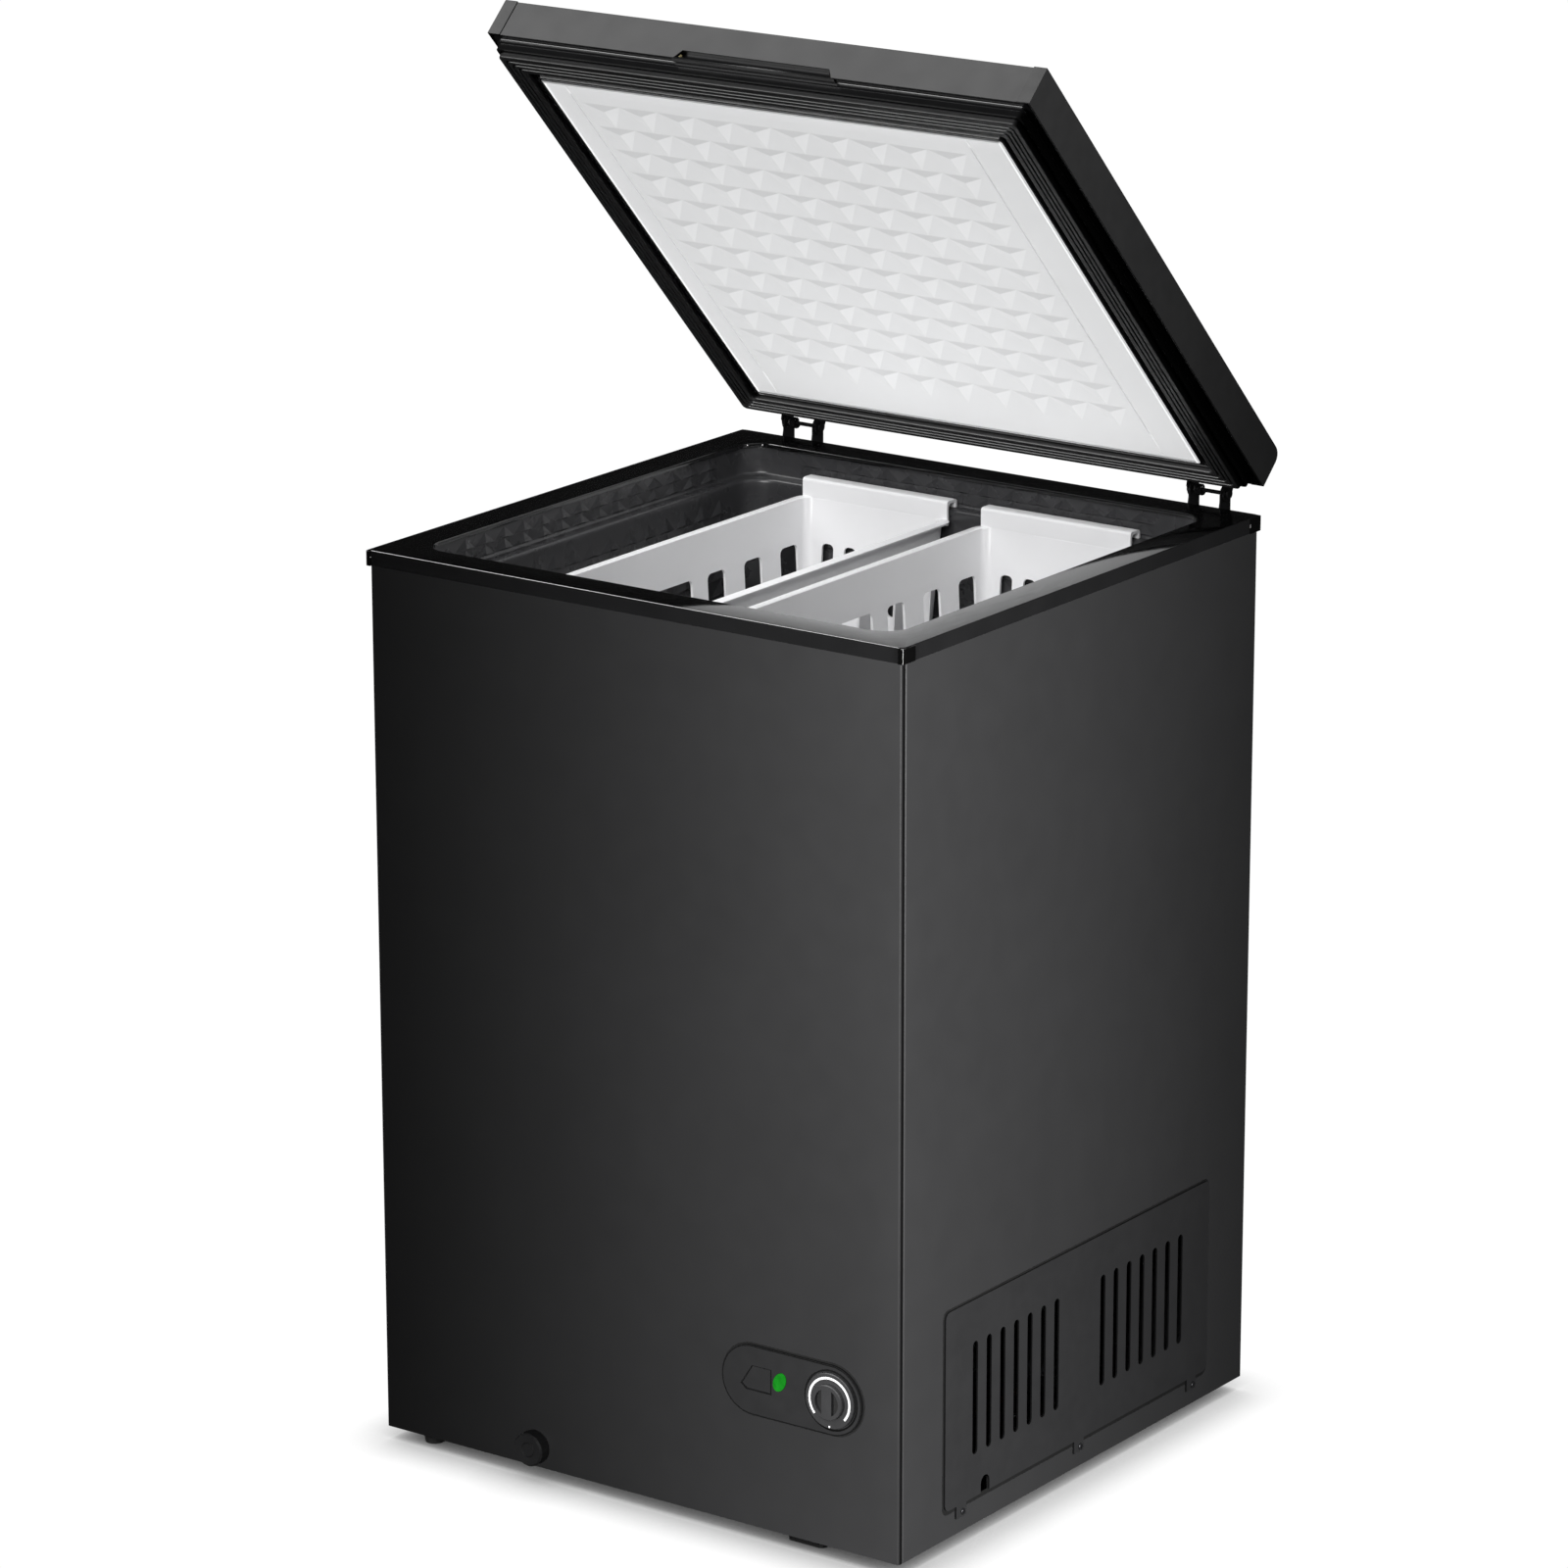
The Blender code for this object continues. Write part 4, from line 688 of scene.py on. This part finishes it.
def tub_liner():
    """Moulded tub: embossed walls, a ledge for the baskets and a raised floor over the compressor."""
    bm = bmesh.new()
    low_rows = [LINER_FLOOR, LINER_FLOOR + 0.013]
    wall_foot = low_rows[1]
    low_rows += [wall_foot + (STEP_Z - wall_foot) * i / LOW_ROWS for i in range(1, LOW_ROWS + 1)]
    high_rows = [STEP_Z + (TUB_PLAIN_Z - STEP_Z) * i / HIGH_ROWS for i in range(1, HIGH_ROWS + 1)]
    above = [LEDGE_Z + 0.0030, LEDGE_Z + 0.0130, LEDGE_Z + 0.0235, SKIN_HIGH - 0.0002]
    ring = len(tub_columns(0.04))
    per_side = 2 * TUB_STEPS + 1 + TUB_CORNER_STEPS + 1

    def row_of(z, inset):
        return [bm.verts.new((x, y, z)) for x, y, _, _ in tub_columns(inset)]

    rows = [(z, liner_inset(z)) for z in low_rows + high_rows]
    rows.append((LEDGE_Z - 0.0035, liner_inset(LEDGE_Z)))
    for a in (30, 60, 90):
        inset = liner_inset(LEDGE_Z) - 0.0025 * (1 - cos(radians(a)))
        rows.append((LEDGE_Z - 0.0035 + 0.0035 * sin(radians(a)), inset))
    rows += [(LEDGE_Z, LINER_INSET + 0.003)]
    for a in (30, 60, 90):
        up, out = 0.003 * (1 - cos(radians(a))), 0.003 * (1 - sin(radians(a)))
        rows.append((LEDGE_Z + up, LINER_INSET + out))
    first_above = len(rows) - 1
    rows += [(z, LINER_INSET) for z in above[1:]]
    grid = [row_of(z, inset) for z, inset in rows]
    for shade_line in grid:
        shade_line.append(shade_line[0])

    # The walls to the right of the step stop at the step's top.
    front_step = 3 + TUB_STEPS
    rear_step = 2 * per_side + TUB_STEPS - 3
    for row in range(len(low_rows) - 1):
        for column in range(front_step + 1, rear_step):
            bm.verts.remove(grid[row][column])
            grid[row][column] = None

    band = set(range(1, len(low_rows) + len(high_rows) - 1)) | {first_above, first_above + 1}
    cells = set()
    for row in band:
        for side in range(4):
            first = side * per_side
            for i in range(TUB_STEPS):
                column = first + 2 * i
                if None not in grid[row][column : column + 3]:
                    cells.add((row, column))

    spec = [(z, inset, tub_columns(inset)) for z, inset in rows]

    def peak(row, column):
        (z, _, here), (next_z, _, _) = spec[row], spec[row + 1]
        x, y, out_x, out_y = here[column + 1]
        lift = 0.0017
        return x - out_x * lift, y - out_y * lift, z + (next_z - z) * 0.14

    embossed(bm, grid, cells, peak)

    # The step's face, between the front and the rear wall, then its top and the floor.
    ys = [-TUB_HALF_PITCH * TUB_STEPS + TUB_HALF_PITCH * i for i in range(2 * TUB_STEPS + 1)]
    face = []
    for row, z in enumerate(low_rows):
        between = [bm.verts.new((STEP_X, y, z)) for y in ys]
        face.append([grid[row][front_step], *between, grid[row][rear_step]])
    embossed(bm, face, set(), peak)
    right = grid[len(low_rows) - 1][front_step : rear_step + 1]
    bm.faces.new(right + list(reversed(face[-1][1:-1])))
    left = grid[0][rear_step:ring] + grid[0][0 : front_step + 1]
    bm.faces.new(left + face[0][1:-1])
    bmesh.ops.recalc_face_normals(bm, faces=bm.faces)
    middle = sum((f.calc_center_median() for f in bm.faces), Vector()) / len(bm.faces)
    facing = sum((f.calc_center_median() - middle).dot(f.normal) for f in bm.faces)
    if facing > 0:
        bmesh.ops.reverse_faces(bm, faces=bm.faces)
    mark_creases(bm, 35)
    mesh = bpy.data.meshes.new("tub")
    bm.to_mesh(mesh)
    bm.free()
    tub = add("embossed_tub_liner", mesh, DARK_LINER, replaces=["inner_liner"], smooth=0)
    skin = tub.modifiers.new("wall", "SOLIDIFY")
    skin.thickness = 0.0013
    skin.offset = -1


# ---- Lid -----------------------------------------------------------------------------------------
def lid_frame():
    """Ribbed ring that closes the lid's underside and holds the gasket."""
    plate = LID_LOW - FRAME_DROP
    section = [
        (0.0030, LID_LOW + 0.0004),
        (0.0066, LID_LOW + 0.0004),
        (0.0069, LID_LOW - 0.0001),
        (0.0069, LID_LOW - 0.0014),
        (0.0064, LID_LOW - 0.0018),
        (0.0064, LID_LOW - 0.0028),
        (0.0069, LID_LOW - 0.0032),
        (0.0078, LID_LOW - 0.0033),
        (0.0080, LID_LOW - 0.0060),
        (0.0080, plate + 0.0004),
        (0.0084, plate),
        (0.0106, plate),
        (0.0110, plate + 0.0010),
        (0.0322, plate + 0.0010),
        (0.0325, plate),
        (0.0333, plate - 0.0012),
        (0.0341, plate - 0.0012),
        (0.0347, plate),
        (0.0366, plate),
        (0.0374, plate - 0.0014),
        (0.0382, plate - 0.0032),
        (0.0394, plate - 0.0036),
        (0.0400, plate - 0.0032),
        (0.0400, plate + 0.0018),
        (0.0090, plate + 0.0018),
        (0.0090, LID_LOW + 0.0020),
        (0.0030, LID_LOW + 0.0020),
    ]
    mesh = swept([lid_loop(inset, z) for inset, z in section])
    add("ribbed_lid_frame", mesh, TRIM, "lid", ["lid_frame"], True)


def lid_handle():
    """Black pocket behind the notch in the lid's front, with a thin rib along its lower edge."""
    half, rise, slope, depth = 0.0795, 0.0080, 0.0055, 0.0060

    def notch(out, low):
        """The notch's outline, larger by out, and down to low."""
        top = LID_LOW + rise + out
        return [
            (-half - out, low),
            (half + out, low),
            (half - slope + out, top),
            (-half + slope - out, top),
        ]

    back = LID_FRONT + depth
    block = prisms([notch(0.0022, LID_LOW - 0.0006)], "Y", LID_FRONT + 0.00062, back)
    pocket = prisms([notch(0.0001, LID_LOW + 0.0005)], "Y", LID_FRONT - CUT_REACH, back - 0.0010)
    path = [(-half + 0.0032, LID_LOW + 0.0044), (-half + 0.0006, LID_LOW + 0.0001)]
    path += [(half - 0.0006, LID_LOW + 0.0001), (half - 0.0032, LID_LOW + 0.0044)]
    inner = [(half - 0.0042, LID_LOW + 0.0044), (half - 0.0020, LID_LOW + 0.0012)]
    inner += [(-half + 0.0020, LID_LOW + 0.0012), (-half + 0.0042, LID_LOW + 0.0044)]
    rib = prisms([path + inner], "Y", LID_FRONT + 0.0001, LID_FRONT + 0.0016)
    mesh = carve(carve(block, pocket), rib, operation="UNION")
    piece = add("lid_handle_pocket", mesh, TRIM, "lid", ["lid_handle"], True)
    bevel(piece, 0.0002, 1)


def lid_seam_shades():
    """Painted shade: thin black strips in the joint between the lid's sheet and each end cap."""
    for side, sign in (("left", -1), ("right", 1)):
        low_x, high_x = sorted((sign * (HALF_W - 0.0127), sign * (HALF_W - 0.0119)))
        turn_y, lid_top = LID_FRONT + 0.0010, LID_HIGH + 0.00025
        front = ((low_x, LID_FRONT - 0.00025, LID_LOW + 0.0008), (high_x, turn_y, lid_top))
        top = ((low_x, turn_y, LID_HIGH - 0.0010), (high_x, LID_BACK - 0.0010, lid_top))
        mesh = carve(boxes(front), boxes(top), operation="UNION")
        add(f"lid_cap_seam_shade_{side}", mesh, SHADOW_GAP, "lid", turn=True, smooth=0)


def lid_gasket():
    """Soft gasket with rounded ribs that press on the collar."""
    plate, face = LID_LOW - FRAME_DROP, LID_LOW - 0.0142
    outer, inner = 0.0115, 0.0315
    section = [(outer + 0.0010, plate + 0.0006), (outer + 0.0008, plate - 0.0006)]
    section += [(outer, plate - 0.0012)]
    section += [(outer, face + 0.0012), (outer + 0.0003, face + 0.0004), (outer + 0.0010, face)]
    ribs, groove = 4, 0.0013
    pitch = (inner - outer - 0.0020) / ribs
    for i in range(1, ribs):
        at = outer + 0.0010 + pitch * i
        section += [(at - 0.0009, face), (at - 0.0004, face + groove)]
        section += [(at + 0.0004, face + groove), (at + 0.0009, face)]
    section += [(inner - 0.0010, face), (inner - 0.0003, face + 0.0004), (inner, face + 0.0012)]
    section += [(inner, plate - 0.0012)]
    section += [(inner - 0.0008, plate - 0.0006), (inner - 0.0010, plate + 0.0006)]
    mesh = swept([lid_loop(inset, z) for inset, z in section])
    add("ribbed_lid_gasket", mesh, GASKET, "lid", ["lid_gasket"], True, 25)


# ---- Baskets -------------------------------------------------------------------------------------
def basket_mesh():
    """Tapered box with slotted walls, a flared side rim and raised ends that roll over into a lip."""
    top, foot, depth, wall = (0.0755, 0.2215), (0.0660, 0.2080), 0.184, 0.0024
    lip_top, side_top, corner = 0.008, -0.008, 0.011

    def ring(half, radius, z):
        return [(u, v, z) for u, v in rounded_rectangle((-half[0], -half[1]), half, radius, 6)]

    def between(z, inward=0.0):
        t = (z - side_top) / (-depth - side_top)
        return tuple(a + (b - a) * t - inward for a, b in zip(top, foot))

    loops = [ring([h - 0.003 for h in foot], corner - 0.003, -depth)]
    loops += [ring([h - 0.0009 for h in between(-depth + 0.001)], corner - 0.0009, -depth + 0.0009)]
    loops += [ring(between(-depth + 0.003), corner, -depth + 0.003)]
    loops += [ring(between(z), corner, z) for z in (-0.110, -0.040)]
    loops += [ring(between(side_top - 0.0032), corner, side_top - 0.0034)]
    loops += [ring((top[0] + 0.0045, top[1] + 0.0012), corner, side_top - 0.0024)]
    loops += [ring((top[0] + 0.0063, top[1] + 0.0018), corner, side_top - 0.0030)]
    loops += [ring((top[0] + 0.0065, top[1] + 0.0020), corner, side_top - 0.0014)]
    loops += [ring((top[0] + 0.0040, top[1] + 0.0012), corner, side_top - 0.0004)]
    loops += [ring((top[0] - 0.0006, top[1] - 0.0006), corner, side_top)]
    loops += [ring(between(side_top - 0.0012, wall), corner - wall, side_top - 0.0012)]
    loops += [ring(between(z, wall), corner - wall, z) for z in (-0.040, -0.110, -depth + 0.006)]
    loops += [ring(between(-depth + wall + 0.0006, wall + 0.0012), corner - wall, -depth + wall + 0.0006)]
    loops += [ring([h - wall - 0.004 for h in foot], corner - wall - 0.002, -depth + wall)]
    body = swept(loops, closed=False)
    ends = []
    for sign in (-1, 1):
        inner, outer = top[1] - wall, top[1]
        tip = 0.2343
        path = [(inner, side_top - 0.006), (outer, side_top - 0.006), (outer, lip_top - 0.0058)]
        path += arc((outer + 0.0032, lip_top - 0.0058), 0.0032, 180, 90, 4)[1:]
        path += [(tip - 0.0032, lip_top - 0.0026), (tip - 0.0026, lip_top - 0.0032)]
        path += [(tip - 0.0026, 0.0002)]
        path += [(tip, 0.0002), (tip, lip_top - 0.0030)]
        path += arc((tip - 0.0030, lip_top - 0.0030), 0.0030, 0, 90, 4)[1:]
        path += arc((inner + 0.0030, lip_top - 0.0030), 0.0030, 90, 180, 4)
        outline = [(sign * v, z) for v, z in path]
        ends.append(prisms([outline], "X", -0.0773, 0.0773))
    slots = []
    pitch, half = 0.054, 0.013
    lower, upper = (-0.169, -0.117), (-0.103, -0.048)
    upper_steps = (-3.5, -2.5, -1.5, 1.5, 2.5, 3.5)
    for (low, high), steps in ((lower, range(-3, 4)), (upper, upper_steps)):
        for step in steps:
            y = step * pitch
            slots.append(rounded_rectangle((y - half, low), (y + half, high), 0.0055, 4))
    slots.append(rounded_rectangle((-0.046, -0.081), (0.046, -0.048), 0.0055, 4))
    across = prisms(slots, "X", -0.1, 0.1)
    slots = []
    for (low, high), count, pitch, half in ((lower, 3, 0.040, 0.0095), (upper, 5, 0.024, 0.0062)):
        for i in range(count):
            x = (i - (count - 1) / 2) * pitch
            slots.append(rounded_rectangle((x - half, low), (x + half, high), 0.0045, 4))
    along = prisms(slots, "Y", -0.3, 0.3)
    slots = []
    for i in range(-5, 6):
        for sign in (-1, 1):
            y = i * 0.036
            x_low, x_high = sorted((sign * 0.006, sign * 0.054))
            slots.append(rounded_rectangle((x_low, y - 0.011), (x_high, y + 0.011), 0.0045, 3))
    floor = prisms(slots, "Z", -0.3, 0.010 - depth)
    joined = carve(body, *ends, operation="UNION")
    return carve(joined, across, along, floor)


def baskets():
    mesh = basket_mesh()
    for side, sign in (("left", -1), ("right", 1)):
        copy = mesh.copy()
        copy.transform(Matrix.Translation((sign * BASKET_X, 0, LEDGE_Z + 0.0003)))
        piece = add(
            f"{side}_slotted_basket",
            copy,
            WHITE_PLASTIC,
            f"basket_on_{side}",
            [f"{side}_basket"],
        )
        bevel(piece, 0.0004, 1, 50)


# ---- Controls and small parts --------------------------------------------------------------------
def dial_marks():
    """The printed arc on the knob's skirt, and its mark below the arc."""
    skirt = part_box("temperature_knob")[0].y - SHIFT.y + 0.0045
    low, high = skirt - 0.00012, skirt + 0.0001
    centre = (KNOB_X, PLATE_Z)
    outer, inner = 0.0212, 0.0192
    printed = arc(centre, outer, -42, 222, 44) + arc(centre, inner, 222, -42, 44)
    foot, head = (KNOB_X - 0.0008, PLATE_Z - 0.0234), (KNOB_X + 0.0008, PLATE_Z - 0.0216)
    mark = rounded_rectangle(foot, head, 0.0006, 3)
    for name, outline in (("dial_arc", printed), ("dial_mark", mark)):
        mesh = prisms([outline], "Y", low, high)
        add(name, mesh, PRINT, "knob", smooth=0)


def plate_details():
    """Painted shade: black in the gap round the control plate, along its three dark lines and on the
    floors of the knob's scoops.
    """
    low, high = (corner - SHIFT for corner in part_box("control_plate"))
    margin, back = 0.0014, -SKIN_Y
    ends = (high.z - low.z) / 2

    def stadium(inset):
        """The plate's outline, smaller by inset."""
        corner, far = (low.x + inset, low.z + inset), (high.x - inset, high.z - inset)
        return rounded_rectangle(corner, far, ends - inset - 0.0001, 16)

    # Painted shade: a black sheet behind the plate stands for the shade in the gap round it.
    mesh = prisms([stadium(-margin)], "Y", back - 0.00025, back + 0.0002)
    add("control_plate_shade_gap", mesh, SHADOW_GAP, smooth=0)
    edge = [stadium(0.0002), stadium(0.0013)]
    label = [
        [(0.1170, 0.1345), (0.1430, 0.1345), (0.1430, 0.1570), (0.1230, 0.1570), (0.1112, 0.1390)],
        [(0.1176, 0.1357), (0.1418, 0.1357), (0.1418, 0.1564), (0.1236, 0.1564), (0.1126, 0.1393)],
    ]
    dish = [arc((KNOB_X, PLATE_Z), radius, 0, 352, 44) for radius in (0.0268, 0.0254)]
    # Painted shade: black lines inside the plate's edge, round the label recess and round the knob's
    # dish.
    for name, (outer, inner) in (("edge", edge), ("label", label), ("dish", dish)):
        front, rear = low.y - 0.00012, low.y + 0.0003
        corners = ((outer, front), (inner, front), (inner, rear), (outer, rear))
        loops = [[(u, y, v) for u, v in loop] for loop, y in corners]
        add(f"control_{name}_line", swept(loops), SHADOW_GAP, smooth=0)
    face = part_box("temperature_knob")[0].y - SHIFT.y
    scoops = []
    for sign in (-1, 1):
        outline = arc((0, 0), 0.0115, -64, 64, 12)
        outline = [(KNOB_X + sign * max(u, 0.0029), PLATE_Z + v) for u, v in outline]
        scoops.append(list(dict.fromkeys(outline)))
    # Painted shade and painted dark reflection: black on the floors of the knob's scoops.
    mesh = prisms(scoops, "Y", face + 0.0034, face + 0.0037)
    add("knob_scoop_shade", mesh, SHADOW_GAP, "knob", smooth=0)


def vent_shade_strip():
    """Thin strip of painted shade that shows as the dark joint round the vent cover, widest under its
    lower edge.
    """
    low, high = (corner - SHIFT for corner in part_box("vent_cover"))
    bottom, margin, edge = low.z + VENT_TAB, 0.0016, 0.008
    start, end = (low.y - margin, bottom - 0.0042), (high.y + margin, high.z + margin)
    outline = rounded_rectangle(start, end, 0.0071, 4)
    mesh = prisms([outline], "X", SKIN_X - 0.0001, SKIN_X + 0.0002)
    near, far = SKIN_X - CUT_REACH, SKIN_X + CUT_REACH
    inner = boxes(((near, low.y + edge, bottom + 0.018), (far, high.y - edge, high.z - edge)))
    arch = boxes(((near, ARCH_START_Y, bottom + 0.0005), (far, ARCH_END_Y, bottom + 0.02)))
    add("vent_cover_shade_strip", carve(mesh, inner, arch), SHADOW_GAP, smooth=0)


def vent_screws():
    """Pan-head screws with a cross recess."""
    for number in (1, 2, 3):
        node = f"vent_screw_{number}"
        low, high = (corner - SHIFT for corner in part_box(node))
        centre = ((low.y + high.y) / 2, (low.z + high.z) / 2)
        radius = (high.y - low.y) / 2
        start, top = low.x, high.x
        shoulder = start + 0.0004
        profile = [(0, start), (radius, start), (radius, shoulder)]
        profile += [(radius * cos(a), shoulder + (top - shoulder) * sin(a)) for a in (0.4, 0.8, 1.2)]
        profile += [(0, top)]
        head = turned(profile, "X", centre, 20)
        slot, arm = 0.00035, radius * 0.6
        cross = []
        for w, h in ((slot, arm), (arm, slot)):
            low_c = (top - 0.0006, centre[0] - w, centre[1] - h)
            cross.append(boxes((low_c, (top + 0.01, centre[0] + w, centre[1] + h))))
        add(f"cross_screw_{number}", carve(head, *cross), SCREW, replaces=[node])


def dress_nodes():
    """Every node of the frame that shows gets its finish, and folded or moulded edges are eased."""
    for name, node in NODES.items():
        set_finish(name, BY_SLOT[node.data.materials[0].name])
    set_finish("lid_skin", LID_PAINT)
    for side in ("left", "right"):
        set_finish(f"lid_cap_{side}", CAP_PLASTIC)
        set_finish(f"hinge_spring_{side}", ENAMEL)
        set_finish(f"hinge_pin_{side}", ENAMEL)
    eased = {
        "lid_skin": 0.0006,
        "lid_cap_left": 0.0012,
        "lid_cap_right": 0.0012,
        "vent_cover": 0.0005,
        "control_plate": 0.0006,
        "status_lens": 0.0003,
        "temperature_knob": 0.0003,
        "hinge_leaf_left": 0.0004,
        "hinge_leaf_right": 0.0004,
        "hinge_bracket_left": 0.0004,
        "hinge_bracket_right": 0.0004,
        "rear_panel": 0.0004,
        "compressor_bracket": 0.0005,
        "relay_cover": 0.0015,
        "thermostat_body": 0.0008,
    }
    for name, width in eased.items():
        bevel(NODES[name], width, 2, 35)


def set_finish(name, surface):
    mesh = NODES[name].data
    mesh.materials.clear()
    mesh.materials.append(surface)


# ---- Camera, floor and light ---------------------------------------------------------------------
def camera():
    azimuth, elevation, distance = radians(35.42), radians(17.475), 5.907
    back = Vector((sin(azimuth) * cos(elevation), -cos(azimuth) * cos(elevation), sin(elevation)))
    data = bpy.data.cameras.new("camera")
    data.sensor_width = 36
    data.lens = 157.97
    data.shift_x, data.shift_y = -0.0216, 0.0895
    data.clip_end = 100
    made_camera = bpy.data.objects.new("camera", data)
    made_camera.location = Vector((0, 0, 0.45)) + SHIFT + back * distance
    made_camera.rotation_euler = (pi / 2 - elevation, 0, azimuth)
    bpy.context.scene.collection.objects.link(made_camera)
    bpy.context.scene.camera = made_camera


def pale_floor():
    """A floor that shines by itself, with a painted contact shadow where the cabinet stands close over
    it.
    """
    bm = bmesh.new()
    bmesh.ops.create_grid(bm, x_segments=1, y_segments=1, size=30)
    mesh = bpy.data.meshes.new("floor")
    bm.to_mesh(mesh)
    bm.free()
    surface = Surface(
        "pale_floor", (0.0, 0.0, 0.0), 0.9, Specular_IOR_Level=0.0, Emission_Strength=1.0
    )
    # Painted shadow: ambient occlusion darkens the floor's own glow near the cabinet.
    hidden = surface.nodes.new("ShaderNodeAmbientOcclusion")
    hidden.inputs["Distance"].default_value = 0.05
    hidden.samples = 8
    surface.links.new(surface.ranged(surface.noise(0.8), 1.005, 1.03), hidden.inputs["Color"])
    surface.links.new(hidden.outputs["Color"], surface.shader.inputs["Emission Color"])
    mesh.materials.append(surface.material)
    floor = bpy.data.objects.new("floor", mesh)
    bpy.context.scene.collection.objects.link(floor)
    floor.location.z = -0.0002
    floor.visible_glossy = False
    floor.visible_diffuse = False
    floor.visible_shadow = False
    floor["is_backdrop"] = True
    return floor


def studio_world():
    """White as a backdrop, and dim as a light."""
    world = bpy.data.worlds.new("studio")
    bpy.context.scene.world = world
    world.use_nodes = True
    nodes, links = world.node_tree.nodes, world.node_tree.links
    seen = nodes["Background"]
    seen.inputs["Color"].default_value = (1, 1, 1, 1)
    felt = nodes.new("ShaderNodeBackground")
    felt.inputs["Color"].default_value = (1, 1, 1, 1)
    felt.inputs["Strength"].default_value = 0.012
    mix = nodes.new("ShaderNodeMixShader")
    path = nodes.new("ShaderNodeLightPath")
    links.new(path.outputs["Is Camera Ray"], mix.inputs["Fac"])
    links.new(felt.outputs["Background"], mix.inputs[1])
    links.new(seen.outputs["Background"], mix.inputs[2])
    links.new(mix.outputs["Shader"], nodes["World Output"].inputs["Surface"])
    bpy.context.scene.view_settings.view_transform = "Standard"


def group(name, pieces, leave_out=False):
    """A collection for light linking, of the pieces that a light reaches or of those it leaves out."""
    made_group = bpy.data.collections.new(name)
    for piece in pieces:
        made_group.objects.link(piece)
    if leave_out:
        for item in made_group.collection_objects:
            item.light_linking.link_state = "EXCLUDE"
    return made_group


def lamp(
    name, kind, location, target, energy, receivers=None, blockers=None, shine_only=False, **settings
):
    """A light that faces target. The groups, if given, say what it lights and what shades it."""
    data = bpy.data.lights.new(name, kind)
    data.energy = energy
    for key, value in settings.items():
        setattr(data, key, value)
    made_lamp = bpy.data.objects.new(name, data)
    made_lamp.location = Vector(location) + SHIFT
    heading = Vector(target) - Vector(location)
    made_lamp.rotation_euler = heading.to_track_quat("-Z", "Y").to_euler()
    bpy.context.scene.collection.objects.link(made_lamp)
    if receivers:
        made_lamp.light_linking.receiver_collection = receivers
    if blockers:
        made_lamp.light_linking.blocker_collection = blockers
    made_lamp.visible_diffuse = not shine_only
    return made_lamp


def spread_beam(name, location, target, reach, energy, receivers):
    """A lamp whose beam fades to nothing at reach from its middle, and hardly changes with height."""
    distance = (Vector(target) - Vector(location)).length
    made_lamp = lamp(
        name, "SPOT", location, target, energy, receivers, spot_blend=1.0, shadow_soft_size=0.3
    )
    made_lamp.data.spot_size = 2 * atan(reach / distance)
    made_lamp.scale = (1, 5, 1)
    return made_lamp


def lights(floor):
    shown = {piece.name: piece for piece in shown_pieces()}

    def named(*starts):
        return [piece for name, piece in shown.items() if name.startswith(starts)]

    rim = named("top_collar", "corner_cover")
    plate = named("control_plate", "temperature_knob", "dial_", "knob_", "status_lens")
    front_group = group("front_lit", named("front_skin", "drain_cap") + plate + rim)
    side = named("right_side_skin", "vent_cover", "lid_cap_right", "corner_", "cross_")
    side_group = group("side_lit", side + named("top_collar"))
    skins = named("front_skin", "left_side_skin", "right_side_skin", "vent_cover", "control_plate")
    skins += named("drain_cap", "lid_cap", "embossed_lid_liner", "lid_skin", "ribbed_lid", "lid_handle")
    general = group("not_general", [floor, *skins, *rim], True)
    liner = group("lid_liner_lit", named("embossed_lid_liner"))
    trim = group("trim_lit", named("ribbed_lid", "lid_handle"))
    lid_group = group("lid_lit", named("lid_skin", "lid_cap"))
    skin_edges = group("skin_edges_lit", named("front_skin", "right_side_skin"))
    collar = group("collar_lit", rim)
    clips = group("clips_lit", named("corner_cover"))
    hidden = named("front_skin", "control_plate", "right_side_skin", "vent_cover", "lid_cap_right")
    hidden += named("embossed", "ribbed_lid", "lid_handle", "cross_screw")
    hidden += named("left_slotted", "right_slotted")
    others = group("not_front", [floor, *hidden, *rim], True)

    spread_beam("front_key", (0.80, -4.2, 0.6), (0.80, 0, 0.45), 1.20, 1000, front_group)
    spread_beam("side_key", (4.2, -0.80, 0.6), (0, -0.80, 0.45), 1.42, 1200, side_group)
    corner, above = (7.77, -5.52, -2.6), (-5.5, -3.0, 8.2)
    lamp("fold_shine", "SUN", corner, (0, 0, 0.4), 0.22, skin_edges, None, True, angle=radians(10))
    lamp("clip_shine", "SUN", corner, (0, 0, 0.4), 3.0, clips, None, True, angle=radians(14))
    lamp("edge_shine", "SUN", above, (0, 0, 0.4), 4.0, collar, None, True, angle=radians(30))
    lamp("top_light", "SUN", (-1.5, -1.2, 4), (0, 0, 0.5), 2.7, general, angle=radians(50))
    lamp("front_fill", "SUN", (1.2, -4, 3.0), (0, 0, 0.7), 2.1, general, angle=radians(35))
    lamp("liner_light", "SUN", (0.4, -0.4, -3), (0, 0, 1.0), 3.5, liner, liner, angle=radians(30))
    lamp("trim_light", "SUN", (-5.5, -7.5, 4.0), (0, 0, 0.8), 3.0, trim, angle=radians(35))
    lamp("lid_light", "SUN", (-2.2, -1.0, 3.4), (0, 0, 1.0), 2.2, lid_group, angle=radians(60))
    sheet = {"shape": "RECTANGLE", "size": 2.5, "size_y": 2.0}
    rear = lamp("rear_fill", "AREA", (0.2, 4.6, 1.8), (0, 0, 0.5), 260, others, **sheet)
    rear.visible_glossy = False
    lamp("left_fill", "AREA", (-4.0, 1.2, 1.2), (0, 0, 0.5), 110, others, **sheet)


def build():
    front_skin()
    side_skins()
    top_collar()
    corner_covers()
    tub_liner()
    lid_liner()
    lid_frame()
    lid_gasket()
    lid_handle()
    lid_seam_shades()
    baskets()
    dial_marks()
    plate_details()
    vent_shade_strip()
    vent_screws()
    dress_nodes()
    camera()
    floor = pale_floor()
    studio_world()
    lights(floor)


build()
